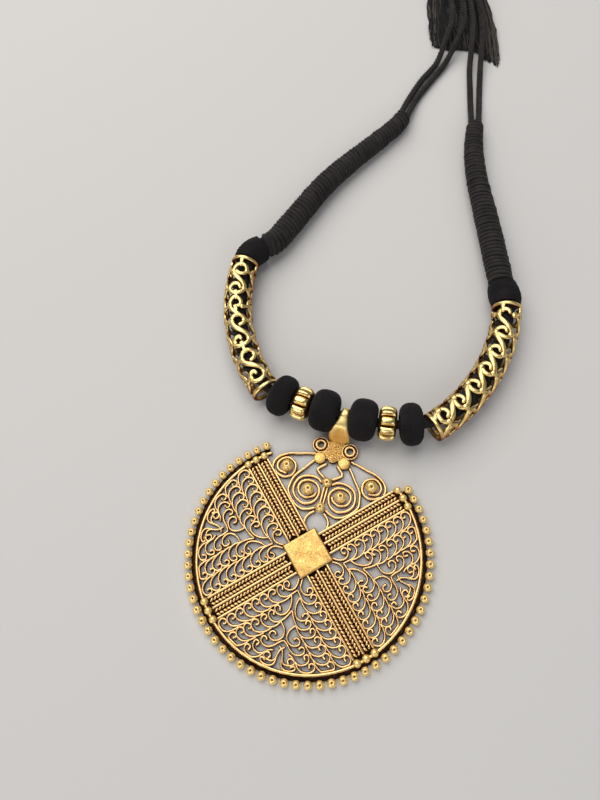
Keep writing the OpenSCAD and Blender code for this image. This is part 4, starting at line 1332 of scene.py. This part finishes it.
def make_neck_knot():
    """Barrel wound with thread at the back of the neck, with flat ends wound to the middle."""
    thread, end_rows = KNOT_THREAD_D, 7
    t = np.linspace(0, 1, 30)
    drop = np.where(t < 0.5, *KNOT_END_DROP) * (2 * t - 1) ** 4
    radius = KNOT_D / 2 - drop - thread / 2
    along = KNOT_LENGTH * t
    along[0], along[-1] = thread / 2, KNOT_LENGTH - thread / 2
    profile = np.column_stack([along, radius])
    shares = np.linspace(0.1, 1, end_rows)[:-1]
    near = [[along[0], k * radius[0]] for k in shares]
    far = [[along[-1], k * radius[-1]] for k in shares[::-1]]
    at = lying(*NECK_AT, NECK_TURN + 90)
    wound = wound_turns(even(np.vstack([near, profile, far]), 0.5), thread, thread * CLOSE, at, Steps=16,
                        Wander=0.14 * MM, Sides=6, Seed=3.0)
    shape = [[0.5, 0.01], *(profile - [0, 0.15]).tolist(), [KNOT_LENGTH - 0.5, 0.01]]
    wound_piece("neck_knot", wound, lathe(shape, 32, at, WOUND_THREAD), 9, density=4.0e5)


def make_tassel():
    """Loose threads in two halves, and the binding of the tassel's neck."""
    at = lying(NECK_AT[0], NECK_AT[1], 0, NECK_TURN)
    tree = tassel_tree()
    for side, left, right, seed in (("left", -1.0, 0.0, 3), ("right", 0.0, 1.0, 8)):
        threads = grow(tree, mesh_from("none", [(0, 0, 0)]), place=at, Count=TASSEL_THREADS // 2,
                       Reach=TASSEL_REACH * MM, Spread=TASSEL_SPREAD * MM, Start=TASSEL_START * MM,
                       Left=left, Right=right, Thread=TASSEL_THREAD_D * MM, Seed=seed,
                       Material=LOOSE_THREAD)
        piece(f"tassel_threads_{side}", [threads], "tassel")
    turn = Matrix.Rotation(math.radians(NECK_TURN), 3, "Z")
    route = [[*(turn @ Vector(p[:3]) + Vector((*NECK_AT[:2], 0))), p[3]] for p in BINDING]
    parts = wound_cord(cord_line(route), BINDING_THREAD_D, 1, 5, WOUND_THREAD, wander=0.05)
    piece("tassel_binding", parts, "tassel")


# Floor and light

def make_floor():
    mesh = mesh_from("floor", [(-3, -3, 0), (3, -3, 0), (3, 3, 0), (-3, 3, 0)], faces=[(0, 1, 2, 3)])
    mesh.materials.append(Finish("pale_floor", Roughness=0.9, Base_Color=(0.62, 0.61, 0.60, 1)).material)
    add_object("floor", mesh)


def make_light(name, place, size, power, colour):
    """Soft light that faces the pendant."""
    data = bpy.data.lights.new(name, "AREA")
    data.shape = "RECTANGLE"
    data.size, data.size_y = size
    data.energy = power
    data.color = colour
    o = add_object(name, data)
    o.location = place
    o.rotation_euler = (Vector((0, -0.03, 0)) - Vector(place)).to_track_quat("-Z", "Y").to_euler()


def make_studio():
    make_floor()
    make_light("key", (-0.34, 0.3, 0.8), (1.1, 1.1), 10.0, (1.0, 0.97, 0.93))
    make_light("fill", (0.9, -0.7, 0.8), (0.9, 0.9), 3.0, (0.96, 0.98, 1.0))
    make_light("front", (-0.3, -1.1, 0.5), (1.0, 0.6), 3.6, (1.0, 0.98, 0.96))
    bpy.context.scene.view_settings.view_transform = "Standard"
    world = bpy.data.worlds.new("studio")
    world.use_nodes = True
    colour, strength = world.node_tree.nodes["Background"].inputs[:2]
    colour.default_value = (0.8, 0.82, 0.85, 1)
    strength.default_value = 0.2
    bpy.context.scene.world = world


make_cords()
make_scrolls()
make_rim()
make_arms()
make_square()
make_spirals()
make_top()
make_bail()
for number, place in enumerate(THREAD_BEADS, 1):
    make_thread_bead(number, place)
for name, place in FLUTED_BEADS.items():
    make_fluted_bead(name, place)
for name, place in TUBES.items():
    make_tube(name, place)
make_string()
for number, (name, route) in enumerate(COLLARS.items()):
    make_collar(name, route, 31 + number)
make_neck_knot()
make_tassel()
make_studio()
